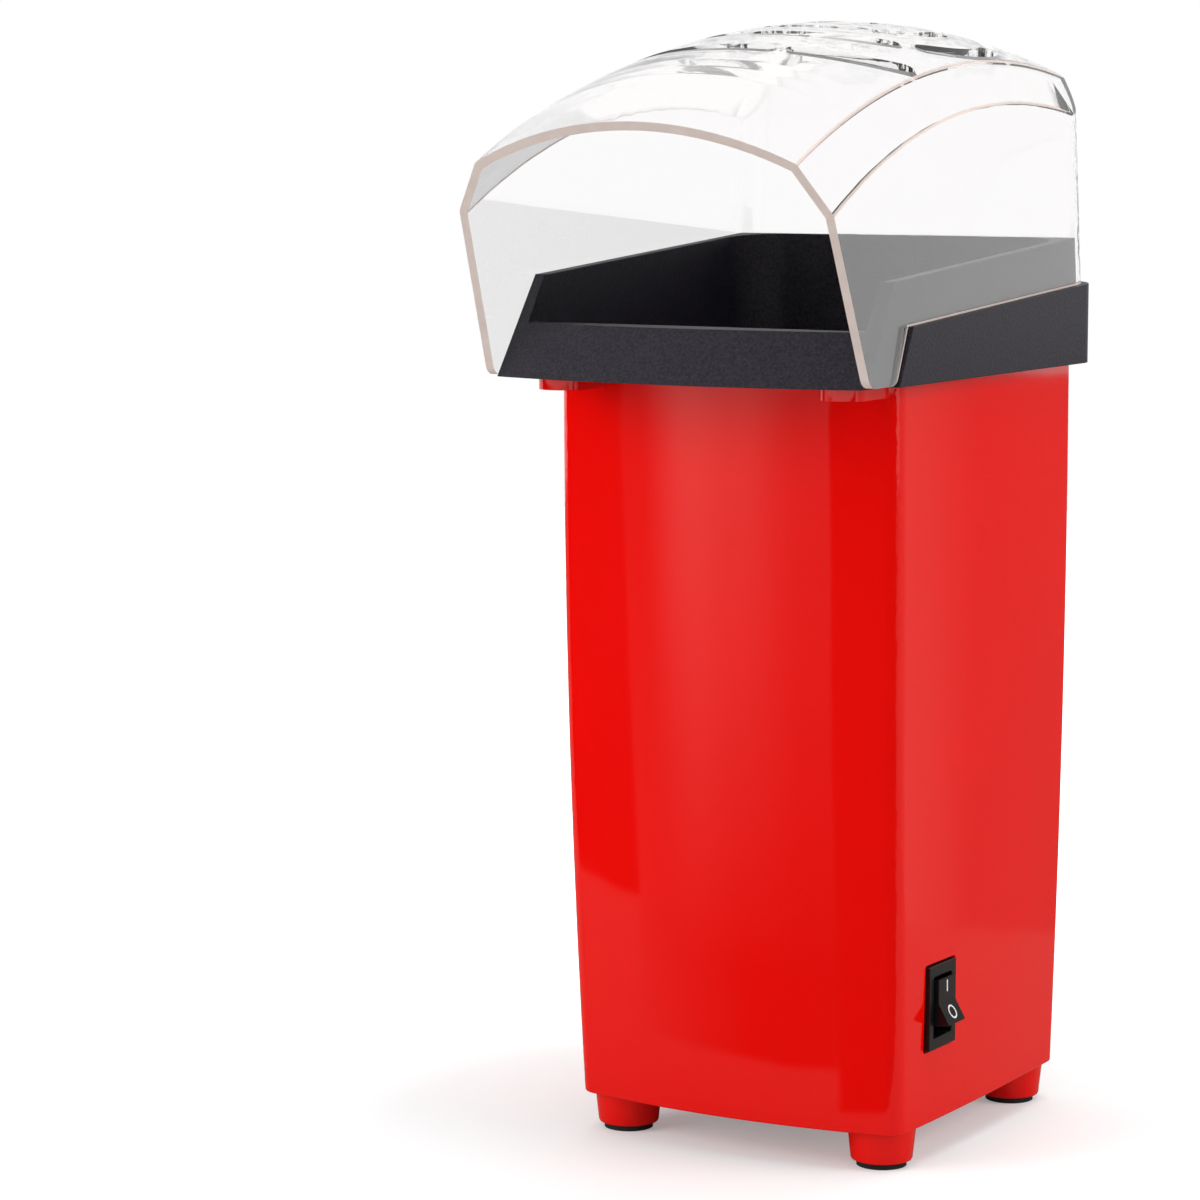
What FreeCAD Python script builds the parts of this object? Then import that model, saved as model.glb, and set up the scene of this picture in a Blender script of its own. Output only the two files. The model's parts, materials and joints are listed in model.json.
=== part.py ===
import FreeCAD, Part
import math
import os
import re
import Sketcher

# Hot-air popcorn maker. Millimetres, Z up, spout towards -Y, switch towards +X.
# Sizes are laid out about the upright axis of the fan and the chamber; every finished
# piece is then moved back by axis_y, so that the origin is under the middle of the whole.

Vector = FreeCAD.Vector
os.makedirs("parts", exist_ok=True)
doc = FreeCAD.newDocument("popcorn_maker")
sheet = doc.addObject("Spreadsheet::Sheet", "Sizes")
names = {}
nodes = []


def write_size(name, number):
    """Write one driving size into the sheet, with its name as the alias of its cell."""
    row = len(names) + 1
    sheet.set("A%d" % row, name)
    sheet.set("B%d" % row, str(number))
    sheet.setAlias("B%d" % row, name)
    names[name] = "Sizes." + name


def derive(name, formula):
    """Name a formula of sizes that several pieces use."""
    names[name] = "(" + full(formula) + ")"


def full(formula):
    """The formula with every size name led back to its cell."""
    return re.sub(r"[A-Za-z_]\w*", lambda word: names.get(word[0], word[0]), formula)


def value(formula):
    return float(sheet.evalExpression(full(formula)))


def bind(thing, prop, formula):
    thing.setExpression(prop, full(formula))


# The driving sizes, in millimetres and degrees: each gets a cell of its own in the sheet

before_sizes = set(globals()) | {"before_sizes"}

# Overall
overall_height = 280
cover_reach = 99.3
running_fit = 0.04
free_gap = 0.35
snug_gap = 0.1
cut_past = 12

# Body shell
foot_height = 9.8
body_top = 193.6
body_waist = 85
body_room = 0.2
side_flare_low = 1.4
side_flare_high = 0.4
front_setback = 1.4
front_flare_low = 4.4
front_flare_high = 3
back_room = 4.6
back_flare_low = 1.2
back_flare_high = 0.4
front_bow = 5
side_bow = 1
corner_radius = 5
body_wall = 2.2
seat_backing = 0.6
lug_radius = 6
lug_height = 3.4
lug_x = 38.3
lug_out = 11.7
boss_radius = 4.5
boss_cap = 1
rib_thickness = 2
hook_width = 14
hook_height = 3
hook_drop = 4

# Base cover and feet
plate_thickness = 2.5
foot_inset = 9
foot_radius = 8.5
foot_tip_radius = 7.6
foot_screw_floor = 2.5
pad_radius = 6.2
pad_height = 1.5
pad_seat = 0.8
slot_count = 7
slot_pitch = 7
slot_width = 3.2
slot_length = 50

# Screws
screw_radius = 1.5
screw_head_radius = 2.7
screw_head_height = 1.6
screw_clearance = 0.2
base_screw_length = 14
collar_screw_length = 9
chamber_screw_length = 6
housing_screw_length = 10
motor_screw_length = 4.6

# Switch
switch_y = -24
switch_z = 39.2
switch_seat = 0.2
bezel_height = 21
bezel_width = 15
bezel_thickness = 2
bezel_lap_up = 0.9
bezel_lap_across = 1.1
switch_wall_up = 2
switch_wall_across = 1.4
switch_lift = 1.3
switch_depth = 16
well_depth = 10
pivot_depth = 3.4
pivot_radius = 1
rocker_gap = 0.407
rocker_mid = 4.7
rocker_end = 6.2
rocker_back = 3
rocker_relief = 0.6
pin_end_wall = 0.3
rocker_tilt = 15
terminal_width = 4.8
terminal_thickness = 0.8
terminal_length = 7

# Cord bush in the back wall
bush_z = 27
bush_side_gap = 0.5
bush_bore = 3.6
bush_neck = 5
bush_flange = 7
bush_flange_thickness = 2
bush_pad = 2.6
bush_land = 2

# Motor and fan
motor_radius = 18
motor_wall = 1
motor_length = 32
motor_cap_thickness = 3
shaft_radius = 1.6
shaft_tail = 1
shaft_nose = 1.7
bearing_radius = 4
bearing_length = 3
bearing_stand = 1
cap_spigot = 2
magnet_thickness = 2.8
armature_gap = 0.6
magnet_lift = 6
magnet_end = 6
winding_head = 3.5
winding_step = 3
commutator_gap = 0.6
armature_room = 4.5
commutator_radius = 4.8
commutator_length = 2.9
board_radius = 15
board_thickness = 1.6
board_drop = 3
tab_offset = 10
tab_width = 4
tab_thickness = 0.8
tab_tail = 0.5
diode_radius = 1.35
diode_gap = 1.4
diode_length = 5
diode_x = 5
diode_y = 9
floor_thickness = 2.5
socket_land = 1.4
housing_wall = 2.8
heater_seat_thickness = 2
heater_seat_width = 3.8
sleeve_socket = 3
post_radius = 3.6
post_inset = 3.2
inlet_inner = 21
inlet_outer = 32
inlet_spoke = 9
fan_radius = 33.5
fan_lift = 3
fan_height = 14
fan_headroom = 3.5
hub_radius = 6.5
blade_count = 7
blade_thickness = 1.4
blade_chord = 15
blade_pitch = 38
blade_root = 1.5
clip_radius = 4.5
clip_thickness = 0.8

# Heater and chamber
sleeve_radius = 41.2
sleeve_wall = 0.6
sleeve_gap = 3.3
sleeve_length = 69
mica_thickness = 1
mica_foot = 4
mica_height = 25
heater_gap = 7
mica_half = 29
wire_radius = 0.6
coil_gap = 0.35
coil_turns = 5
coil_lift = 1.5
thermostat_radius = 7
thermostat_depth = 6
thermostat_half_height = 5.6
plate_span = 12
thermostat_plate = 0.8
thermostat_z = 122
chamber_wall = 0.8
chamber_drop = 5.6
chamber_crown = 4
chamber_heel = 6
flange_width = 4.4
flange_thickness = 1
ear_radius = 6.5
ear_lap = 0.73
louvre_count = 20
louvre_length = 13
louvre_width = 2.2
louvre_lift = 8
louvre_slant = 35

# Collar
band_overhang = 5.7
band_back_overhang = 2
band_corner = 8.3
band_front = 55
band_front_low = 62
ledge_front = 13.8
ledge_back = 20.6
wall_front_rise = 24.3
wall_back_rise = 31.8
wall_corner = 6
collar_front = 74.7
collar_bow = 8
collar_lean = 16.3
lip_rise = 12.9
lip_thickness = 3
hopper_inset = 7.5
hopper_back_inset = 8.6
hopper_corner = 12
deck_thickness = 3
collar_wall = 2.4
groove_height = 10
throat_wall = 2
throat_land = 4
apron_gap = 2
apron_rise = 4.3
apron_skin = 3.6
groove_front = 6
tongue_thickness = 2
tongue_length = 30
tongue_depth = 6

# Clear cover
cover_corner = 7.5
cover_wall = 2.2
cover_inset = 0.6
cover_draft = 4.2
cover_back_inset = 2
leg_clearance = 0.4
leg_width = 13.6
leg_tip_radius = 3.5
dome_radius = 253
dome_y = 10.4
crease_inset = 5
crease_drop = 10.25
shoulder_width = 6.4
shoulder_drop = 21.1
miter_across = 0.71
miter_down = 0.76
vent_y = 7
vent_width = 4.5
vent_inner = 12
vent_middle = 26
vent_outer = 38.5
vent_front = 56

for name in [name for name in globals() if name not in before_sizes]:
    write_size(name, globals()[name])
doc.recompute()

# Sizes that follow from others: up the stack from the base plate to the chamber

derive("plate_top", "foot_height + plate_thickness")
derive("board_low", "plate_top + diode_gap + 2 * diode_radius")
derive("board_top", "board_low + board_thickness")
derive("cap_low", "board_top + board_drop")
derive("can_low", "cap_low + motor_cap_thickness")
derive("housing_floor", "can_low + motor_length")
derive("floor_top", "housing_floor + floor_thickness")
derive("fan_low", "floor_top + fan_lift")
derive("fan_high", "fan_low + fan_height")
derive("shaft_high", "fan_high + clip_thickness + shaft_nose")
derive("seat_low", "fan_high + fan_headroom")
derive("seat_top", "seat_low + heater_seat_thickness")
derive("housing_top", "seat_top + sleeve_socket")
derive("mica_step", "seat_top + mica_foot")
derive("mica_top", "seat_top + mica_height")
derive("coil_pitch", "(mica_height - mica_foot - 2 * coil_lift) / coil_turns")
derive("chamber_low", "mica_top + heater_gap")
derive("chamber_top", "body_top - chamber_drop")

# Outward from the sleeve to the chamber inside it, and to the housing, body and collar round it

derive("sleeve_inner", "sleeve_radius - sleeve_wall")
derive("chamber_outer", "sleeve_inner - sleeve_gap")
derive("chamber_radius", "chamber_outer - chamber_wall")
derive("flange_radius", "chamber_radius + flange_width")
derive("ear_offset", "(flange_radius + ear_radius - ear_lap) / sqrt(2)")
derive("housing_inner", "sleeve_radius - socket_land")
derive("housing_outer", "housing_inner + housing_wall")
derive("heater_seat_inner", "housing_inner - heater_seat_width")
derive("post_ring", "housing_inner - post_inset")
derive("body_half_low", "housing_outer + body_room + body_wall")
derive("body_half_waist", "body_half_low + side_flare_low")
derive("body_half_top", "body_half_waist + side_flare_high")
derive("body_inside", "body_half_top - body_wall")
derive("body_front_low", "body_half_low - front_setback")
derive("body_front_waist", "body_front_low + front_flare_low")
derive("body_front_top", "body_front_waist + front_flare_high")
derive("body_back_low", "body_half_low + back_room")
derive("body_back_waist", "body_back_low + back_flare_low")
derive("body_back_top", "body_back_waist + back_flare_high")
derive("band_half", "body_half_top + band_overhang")
derive("band_back", "body_back_top + band_back_overhang")
derive("axis_y", "(cover_reach - band_back) / 2")

# Inward or outward by a named step within one group

derive("hopper_half", "band_half - hopper_inset")
derive("hopper_back", "band_back - hopper_back_inset")
derive("cover_half_low", "band_half - cover_inset")
derive("cover_half_high", "cover_half_low - cover_draft")
derive("cover_back", "band_back - cover_back_inset")
derive("crease_half", "cover_half_high - crease_inset")
derive("shoulder_half", "crease_half + shoulder_width")
derive("leg_front", "band_front_low + leg_clearance + leg_width")
derive("can_inner", "motor_radius - motor_wall")
derive("magnet_length", "motor_length - magnet_lift - magnet_end")
derive("armature_radius", "can_inner - magnet_thickness - armature_gap")
derive("winding_radius", "armature_radius - winding_step")
derive("armature_lift", "cap_spigot + commutator_gap + commutator_length + winding_head")
derive("armature_length", "motor_length - armature_lift - winding_head - armature_room")
derive("switch_height", "bezel_height - 2 * bezel_lap_up")
derive("switch_width", "bezel_width - 2 * bezel_lap_across")
derive("well_height", "switch_height - 2 * switch_wall_up")
derive("well_width", "switch_width - 2 * switch_wall_across")
derive("rocker_half", "(well_height / 2 - rocker_gap - rocker_end * sin(rocker_tilt)) / cos(rocker_tilt)")
derive("boss_top", "switch_z - switch_height / 2 - switch_lift")
derive("screw_hole", "screw_radius + screw_clearance")
derive("screw_pilot", "screw_radius")
derive("foot_x", "body_half_low - foot_inset")
derive("foot_front", "-(body_front_low - foot_inset)")
derive("foot_back", "body_back_low - foot_inset")
derive("bush_x", "-(foot_x - boss_radius - bush_flange - bush_side_gap)")
derive("lug_y", "-(body_front_top + lug_out)")



def place(thing, x="0", y="0", z="0"):
    """Bind the place of a thing to formulas."""
    bind(thing, "Placement.Base.x", x)
    bind(thing, "Placement.Base.y", y)
    bind(thing, "Placement.Base.z", z)
    return thing


def node(thing, label):
    """Finish a sub-part: name it and move it to its place in the whole."""
    thing.Label = label
    place(thing, y="axis_y")
    nodes.append(thing)
    return thing


def box(x0, x1, y0, y1, z0, z1):
    thing = doc.addObject("Part::Box", "Block")
    bind(thing, "Length", "(%s) - (%s)" % (x1, x0))
    bind(thing, "Width", "(%s) - (%s)" % (y1, y0))
    bind(thing, "Height", "(%s) - (%s)" % (z1, z0))
    return place(thing, x0, y0, z0)


def rod(x, y, z0, z1, radius):
    """An upright cylinder."""
    thing = doc.addObject("Part::Cylinder", "Rod")
    bind(thing, "Radius", radius)
    bind(thing, "Height", "(%s) - (%s)" % (z1, z0))
    return place(thing, x, y, z0)


def lying_rod(x, y0, y1, z, radius):
    """A cylinder along Y."""
    thing = doc.addObject("Part::Cylinder", "Rod")
    thing.Placement = FreeCAD.Placement(Vector(), FreeCAD.Rotation(Vector(1, 0, 0), -90))
    bind(thing, "Radius", radius)
    bind(thing, "Height", "(%s) - (%s)" % (y1, y0))
    return place(thing, x, y0, z)


def cone(x, y, z0, z1, radius_low, radius_high):
    thing = doc.addObject("Part::Cone", "Cone")
    bind(thing, "Radius1", radius_low)
    bind(thing, "Radius2", radius_high)
    bind(thing, "Height", "(%s) - (%s)" % (z1, z0))
    return place(thing, x, y, z0)


def fuse(*shapes):
    thing = doc.addObject("Part::MultiFuse", "Joined")
    thing.Shapes = list(shapes)
    thing.Refine = True
    return thing


def common(first, *others):
    """What all the shapes share."""
    for other in others:
        thing = doc.addObject("Part::Common", "Shared")
        thing.Base = first
        thing.Tool = other
        first = thing
    return first


def cut(base, *tools):
    thing = doc.addObject("Part::Cut", "Trimmed")
    thing.Base = base
    thing.Tool = tools[0] if len(tools) == 1 else fuse(*tools)
    return thing


def group(*shapes):
    """Separate solids that share one node."""
    thing = doc.addObject("Part::Compound", "Group")
    thing.Links = list(shapes)
    return thing


def ring(x, y, z0, z1, outer, inner):
    return cut(rod(x, y, z0, z1, outer), rod(x, y, z0, z1, inner))


TURNS = {
    "XY": FreeCAD.Rotation(),
    "XZ": FreeCAD.Rotation(Vector(1, 0, 0), 90),
    "YZ": FreeCAD.Rotation(Vector(1, 1, 1), 120),
}


def free_sketch(plane, x="0", y="0", z="0"):
    """A sketch on a plane of the document."""
    sketch = doc.addObject("Sketcher::SketchObject", "Outline")
    sketch.Placement = FreeCAD.Placement(Vector(), TURNS[plane])
    return place(sketch, x, y, z)


def body_sketch(body, plane, lift="0"):
    """A sketch on an origin plane of a body, moved along the plane's normal."""
    sketch = body.newObject("Sketcher::SketchObject", "Outline")
    role = plane + "_Plane"
    support = [item for item in body.Origin.OriginFeatures if item.Role == role][0]
    sketch.AttachmentSupport = [(support, "")]
    sketch.MapMode = "FlatFace"
    bind(sketch, "AttachmentOffset.Base.z", lift)
    return sketch


def fix(sketch, kind, *spots, formula):
    """One sketch dimension, bound to a formula."""
    index = sketch.addConstraint(Sketcher.Constraint(kind, *spots, value(formula)))
    bind(sketch, "Constraints[%d]" % index, formula)


def outline(sketch, *points):
    """Close an outline through points (across, up) or (across, up, radius).

    A radius makes the side to the next point an arc that bulges to the right of its
    direction, so outwards where the outline is walked counter-clockwise.
    """
    spots = [Vector(value(point[0]), value(point[1]), 0) for point in points]
    for number, point in enumerate(points):
        here = spots[number]
        there = spots[(number + 1) % len(spots)]
        if len(point) == 2:
            sketch.addGeometry(Part.LineSegment(here, there))
            continue
        radius = value(point[2])
        along = there - here
        inward = Vector(-along.y, along.x, 0).normalize()
        height = math.sqrt(max(radius ** 2 - along.Length ** 2 / 4, 0))
        centre = here + along * 0.5 + inward * height
        first = math.atan2(here.y - centre.y, here.x - centre.x)
        last = math.atan2(there.y - centre.y, there.x - centre.x)
        circle = Part.Circle(centre, Vector(0, 0, 1), radius)
        sketch.addGeometry(Part.ArcOfCircle(circle, first, last))
    for number, point in enumerate(points):
        before = (number - 1) % len(points)
        sketch.addConstraint(Sketcher.Constraint("Coincident", before, 2, number, 1))
    for number, point in enumerate(points):
        fix(sketch, "DistanceX", -1, 1, number, 1, formula=point[0])
        fix(sketch, "DistanceY", -1, 1, number, 1, formula=point[1])
        if len(point) == 3:
            fix(sketch, "Radius", number, formula=point[2])
    return sketch


def circles(sketch, *spots):
    """Circles given as (across, up, radius)."""
    for number, (across, up, radius) in enumerate(spots):
        sketch.addGeometry(Part.Circle(Vector(value(across), value(up), 0), Vector(0, 0, 1),
                                       value(radius)))
        fix(sketch, "DistanceX", -1, 1, number, 3, formula=across)
        fix(sketch, "DistanceY", -1, 1, number, 3, formula=up)
        fix(sketch, "Radius", number, formula=radius)
    return sketch


def extrude(sketch, direction, length):
    thing = doc.addObject("Part::Extrusion", "Prism")
    thing.Base = sketch
    thing.DirMode = "Custom"
    thing.Dir = direction
    thing.Solid = True
    bind(thing, "LengthFwd", length)
    return thing


def side_prism(half, *points):
    """A prism across X, as wide as twice half, from a side view in Y and Z."""
    return extrude(outline(free_sketch("YZ", x="-(%s)" % half), *points), Vector(1, 0, 0),
                   "2 * (%s)" % half)


def turned(label, *points):
    """A body turned about the upright axis from an outline of radius and height."""
    body = doc.addObject("PartDesign::Body", label)
    sketch = outline(body_sketch(body, "XZ"), *points)
    spin = body.newObject("PartDesign::Revolution", "Turn")
    spin.Profile = sketch
    spin.ReferenceAxis = (sketch, ["V_Axis"])
    spin.Angle = 360
    return body


def axis_of(body):
    return [item for item in body.Origin.OriginFeatures if item.Role == "Z_Axis"][0]


def polar(body, feature, count):
    """Repeat a feature of a body round the upright axis."""
    pattern = body.newObject("PartDesign::PolarPattern", "Round")
    pattern.Originals = [feature]
    pattern.Axis = (axis_of(body), [""])
    pattern.Angle = 360
    bind(pattern, "Occurrences", count)
    body.Tip = pattern
    return pattern


def screw(length):
    """A pan-head screw that stands on its seat at the origin and points up."""
    head = rod("0", "0", "-screw_head_height", "0", "screw_head_radius")
    shank = rod("0", "0", "-0.2", length, "screw_radius")
    slot = "screw_radius / 4"
    cross = "screw_head_radius * 0.6"
    bottom = "-screw_head_height - 1"
    top = "-screw_head_height * 0.4"
    return cut(fuse(head, shank), box("-" + slot, slot, "-" + cross, cross, bottom, top),
               box("-" + cross, cross, "-" + slot, slot, bottom, top))


def screws_at(length, places, down=False):
    """Copies of one screw at places (x, y, z of the seat)."""
    master = screw(length)
    copies = []
    for x, y, z in places:
        copy = doc.addObject("App::Link", "Screw")
        copy.LinkedObject = master
        if down:
            copy.Placement = FreeCAD.Placement(Vector(), FreeCAD.Rotation(Vector(1, 0, 0), 180))
        copies.append(place(copy, x, y, z))
    return group(*copies)


def corners(x, y_front, y_back):
    """The four places left and right, front and back."""
    return [(sign + "(%s)" % x, y) for sign in ("", "-") for y in (y_front, y_back)]


# Body shell: one moulded tube, a rounded square with bowed faces that narrows downwards


def bowed_square(sketch, half, front, back, radius):
    """A rounded square with bowed sides: four side arcs joined by four tangent corner arcs."""
    side = "((%s) + (%s)) / 2" % (front, back)
    middle = "((%s) - (%s)) / 2" % (back, front)
    front_radius = "((%s)^2 + front_bow^2) / (2 * front_bow)" % half
    back_radius = "((%s)^2 + side_bow^2) / (2 * side_bow)" % half
    side_radius = "((%s)^2 + side_bow^2) / (2 * side_bow)" % side
    big = [
        ("(%s) + side_bow - (%s)" % (half, side_radius), middle, side_radius),
        ("0", "(%s) + side_bow - (%s)" % (back, back_radius), back_radius),
        ("(%s) - (%s) - side_bow" % (side_radius, half), middle, side_radius),
        ("0", "(%s) - (%s) - front_bow" % (front_radius, front), front_radius),
    ]
    centres = [Vector(value(arc[0]), value(arc[1]), 0) for arc in big]
    radii = [value(arc[2]) for arc in big]
    small = value(radius)
    joints = []
    for number in range(4):
        after = (number + 1) % 4
        span = centres[after] - centres[number]
        reach = radii[number] - small
        along = (span.Length ** 2 + reach ** 2 - (radii[after] - small) ** 2) / (2 * span.Length)
        height = math.sqrt(reach ** 2 - along ** 2)
        unit = Vector(span).normalize()
        spots = [centres[number] + unit * along + Vector(-unit.y, unit.x, 0) * (way * height)
                 for way in (1, -1)]
        wanted = Vector((1, -1, -1, 1)[number], (1, 1, -1, -1)[number], 0)
        joints.append(max(spots, key=lambda spot: spot.dot(wanted)))
    for number in range(4):
        before = joints[number - 1] - centres[number]
        after = joints[number] - centres[number]
        circle = Part.Circle(centres[number], Vector(0, 0, 1), radii[number])
        sketch.addGeometry(Part.ArcOfCircle(circle, math.atan2(before.y, before.x),
                                            math.atan2(after.y, after.x)))
        onward = joints[number] - centres[(number + 1) % 4]
        circle = Part.Circle(joints[number], Vector(0, 0, 1), small)
        sketch.addGeometry(Part.ArcOfCircle(circle, math.atan2(after.y, after.x),
                                            math.atan2(onward.y, onward.x)))
    for number in range(8):
        sketch.addConstraint(Sketcher.Constraint("Tangent", number, 2, (number + 1) % 8, 1))
    for number, (across, up, big_radius) in enumerate(big):
        fix(sketch, "DistanceX", -1, 1, 2 * number, 3, formula=across)
        fix(sketch, "DistanceY", -1, 1, 2 * number, 3, formula=up)
        fix(sketch, "Radius", 2 * number, formula=big_radius)
        fix(sketch, "Radius", 2 * number + 1, formula=radius)
    return sketch


body_levels = [("foot_height", "low"), ("body_waist", "waist"), ("body_top", "top")]


def body_loft(body, kind, inset):
    """A smooth loft through the three levels of the body, drawn in by inset."""
    levels = []
    for height, level in body_levels:
        sketch = body_sketch(body, "XY", height)
        levels.append(bowed_square(sketch, "body_half_%s - (%s)" % (level, inset),
                                   "body_front_%s - (%s)" % (level, inset),
                                   "body_back_%s - (%s)" % (level, inset),
                                   "corner_radius - (%s)" % inset))
    loft = body.newObject(kind, "Loft")
    loft.Profile = levels[0]
    loft.Sections = levels[1:]
    return loft


derive("rib_end", "body_half_low - body_wall / 2")
derive("lug_root", "-(body_front_top - body_wall / 4)")
derive("seat_x", "body_half_low + switch_seat")
derive("bezel_face", "seat_x + bezel_thickness")
derive("seat_pad", "body_wall + seat_backing")
derive("bush_seat", "body_back_low")
derive("hook_top", "body_top - hook_drop")

body_tube = doc.addObject("PartDesign::Body", "BodyTube")
body_loft(body_tube, "PartDesign::AdditiveLoft", "0")
doc.recompute()
body_loft(body_tube, "PartDesign::SubtractiveLoft", "body_wall")

shell_parts = [body_tube]
shell_holes = []
for side in ("", "-"):
    lug_place = (side + "lug_x", "lug_y")
    shell_parts.append(rod(*lug_place, "body_top - lug_height", "body_top", "lug_radius"))
    shell_parts.append(box(side + "lug_x - lug_radius", side + "lug_x + lug_radius", "lug_y", "lug_root",
                           "body_top - lug_height", "body_top"))
    shell_holes.append(rod(*lug_place, "body_top - 2 * lug_height", "body_top + 1", "screw_hole"))
    shell_holes.append(rod(*lug_place, "body_top - 2 * lug_height",
                           "body_top - lug_height + screw_head_height", "screw_head_radius + free_gap"))
    for y in ("foot_front", "foot_back"):
        x = side + "foot_x"
        low, high = sorted((x, side + "rib_end"), key=value)
        shell_parts.append(rod(x, y, "plate_top", "boss_top", "boss_radius"))
        shell_parts.append(box(low, high, "%s - rib_thickness / 2" % y, "%s + rib_thickness / 2" % y,
                               "plate_top", "boss_top"))
        shell_holes.append(rod(x, y, "plate_top - cut_past", "boss_top - boss_cap", "screw_pilot"))
shell_parts.append(box("seat_x - seat_pad", "seat_x", "switch_y - bezel_width * 0.75",
                       "switch_y + bezel_width * 0.75", "switch_z - bezel_height * 0.65",
                       "switch_z + bezel_height * 0.65"))
shell_holes.append(box("seat_x", "seat_x + cut_past", "switch_y - bezel_width / 2 - free_gap",
                       "switch_y + bezel_width / 2 + free_gap", "switch_z - bezel_height / 2 - free_gap",
                       "switch_z + bezel_height / 2 + free_gap"))
shell_holes.append(box("seat_x - cut_past", "seat_x + cut_past", "switch_y - switch_width / 2 - snug_gap",
                       "switch_y + switch_width / 2 + snug_gap",
                       "switch_z - switch_height / 2 - snug_gap",
                       "switch_z + switch_height / 2 + snug_gap"))
shell_parts.append(lying_rod("bush_x", "bush_seat - bush_pad", "bush_seat", "bush_z",
                             "bush_flange + bush_land"))
shell_holes.append(lying_rod("bush_x", "bush_seat", "bush_seat + cut_past", "bush_z",
                             "bush_flange + free_gap"))
shell_holes.append(lying_rod("bush_x", "bush_seat - cut_past", "bush_seat + cut_past", "bush_z",
                             "bush_neck"))
shell_holes.append(box("-hook_width / 2 - free_gap", "hook_width / 2 + free_gap",
                       "body_back_top - 2 * body_wall", "body_back_top + cut_past",
                       "hook_top - hook_height - free_gap", "hook_top"))
body_shell = node(cut(fuse(*shell_parts), *shell_holes), "body_shell")

# Base cover: plate in the bottom of the tube, four feet, posts for the fan housing, air slots

derive("foot_bottom", "pad_height")
derive("screw_seat", "foot_height - foot_screw_floor")
plate_inset = "body_wall + free_gap"
plate = extrude(bowed_square(free_sketch("XY", z="foot_height"), "body_half_low - (%s)" % plate_inset,
                             "body_front_low - (%s)" % plate_inset, "body_back_low - (%s)" % plate_inset,
                             "corner_radius - (%s)" % plate_inset), Vector(0, 0, 1), "plate_thickness")
base_parts = [plate]
base_holes = []
foot_places = corners("foot_x", "foot_front", "foot_back")
post_places = [("post_ring", "0"), ("0", "post_ring"), ("-post_ring", "0"), ("0", "-post_ring")]
for x, y in foot_places:
    base_parts.append(cone(x, y, "foot_bottom", "foot_height", "foot_tip_radius", "foot_radius"))
    base_holes.append(rod(x, y, "foot_bottom - cut_past", "foot_bottom + pad_seat",
                          "pad_radius + snug_gap"))
    base_holes.append(rod(x, y, "foot_bottom", "screw_seat", "screw_head_radius + free_gap"))
    base_holes.append(rod(x, y, "screw_seat - snug_gap", "plate_top + cut_past", "screw_hole"))
for x, y in post_places:
    base_parts.append(rod(x, y, "foot_height", "housing_floor", "post_radius"))
    base_holes.append(rod(x, y, "housing_floor - housing_screw_length", "housing_floor + 1",
                          "screw_pilot"))
for number in range(int(value("slot_count"))):
    across = "(%d - (slot_count - 1) / 2) * slot_pitch" % number
    base_holes.append(box("%s - slot_width / 2" % across, "%s + slot_width / 2" % across,
                          "-slot_length / 2",
                          "slot_length / 2", "foot_height - 1", "plate_top + 1"))
base_cover = node(cut(fuse(*base_parts), *base_holes), "base_cover")
foot_pads = node(group(*[rod(x, y, "0", "pad_height + pad_seat", "pad_radius") for x, y in foot_places]),
                 "foot_pads")
base_screws = node(screws_at("base_screw_length", [(x, y, "screw_seat") for x, y in foot_places]),
                   "base_screws")

# Rocker switch, held in the right wall; the rocker turns on two stub pins along Y

derive("pivot_x", "bezel_face - pivot_depth")
derive("switch_back", "seat_x - switch_depth")
switch_solid = fuse(box("seat_x", "bezel_face", "switch_y - bezel_width / 2",
                        "switch_y + bezel_width / 2",
                        "switch_z - bezel_height / 2", "switch_z + bezel_height / 2"),
                    box("switch_back", "seat_x", "switch_y - switch_width / 2",
                        "switch_y + switch_width / 2",
                        "switch_z - switch_height / 2", "switch_z + switch_height / 2"))
switch_well = box("bezel_face - well_depth", "bezel_face + 1", "switch_y - well_width / 2",
                  "switch_y + well_width / 2", "switch_z - well_height / 2", "switch_z + well_height / 2")
pivot_hole = lying_rod("pivot_x", "switch_y - switch_width / 2 + pin_end_wall",
                       "switch_y + switch_width / 2 - pin_end_wall",
                       "switch_z", "pivot_radius + running_fit")
switch_frame = node(cut(switch_solid, switch_well, pivot_hole), "switch_frame")

rocker_prism = extrude(outline(free_sketch("XZ", y="well_width / 2 - free_gap"),
                               ("rocker_mid", "0"), ("rocker_end", "rocker_half"),
                               ("0", "rocker_half - rocker_relief"), ("-rocker_back", "rocker_half / 2"),
                               ("-rocker_back", "-rocker_half / 2"), ("0", "rocker_relief - rocker_half"),
                               ("rocker_end", "-rocker_half")), Vector(0, -1, 0),
                               "well_width - 2 * free_gap")
pin_half = "switch_width / 2 - pin_end_wall - free_gap"
rocker_pins = lying_rod("0", "-(%s)" % pin_half, pin_half, "0", "pivot_radius")
rocker_solid = fuse(rocker_prism, rocker_pins)
switch_rocker = node(rocker_solid, "switch_rocker")
switch_rocker.Placement.Rotation = FreeCAD.Rotation(Vector(0, 1, 0), 0)
bind(switch_rocker, "Placement.Rotation.Axis.x", "0")
bind(switch_rocker, "Placement.Rotation.Axis.y", "-1")
bind(switch_rocker, "Placement.Rotation.Axis.z", "0")
bind(switch_rocker, "Placement.Rotation.Angle", "rocker_tilt")
place(switch_rocker, "pivot_x", "switch_y + axis_y", "switch_z")

terminal_boxes = []
for rise in ("switch_z + switch_height / 4", "switch_z - switch_height / 4"):
    terminal_boxes.append(box("switch_back - terminal_length", "switch_back",
                              "switch_y - terminal_width / 2", "switch_y + terminal_width / 2",
                              "%s - terminal_thickness / 2" % rise, "%s + terminal_thickness / 2" % rise))
switch_terminals = node(group(*terminal_boxes), "switch_terminals")

# Cord bush: a rubber ring snapped into the back wall, empty because there is no cord

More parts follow.
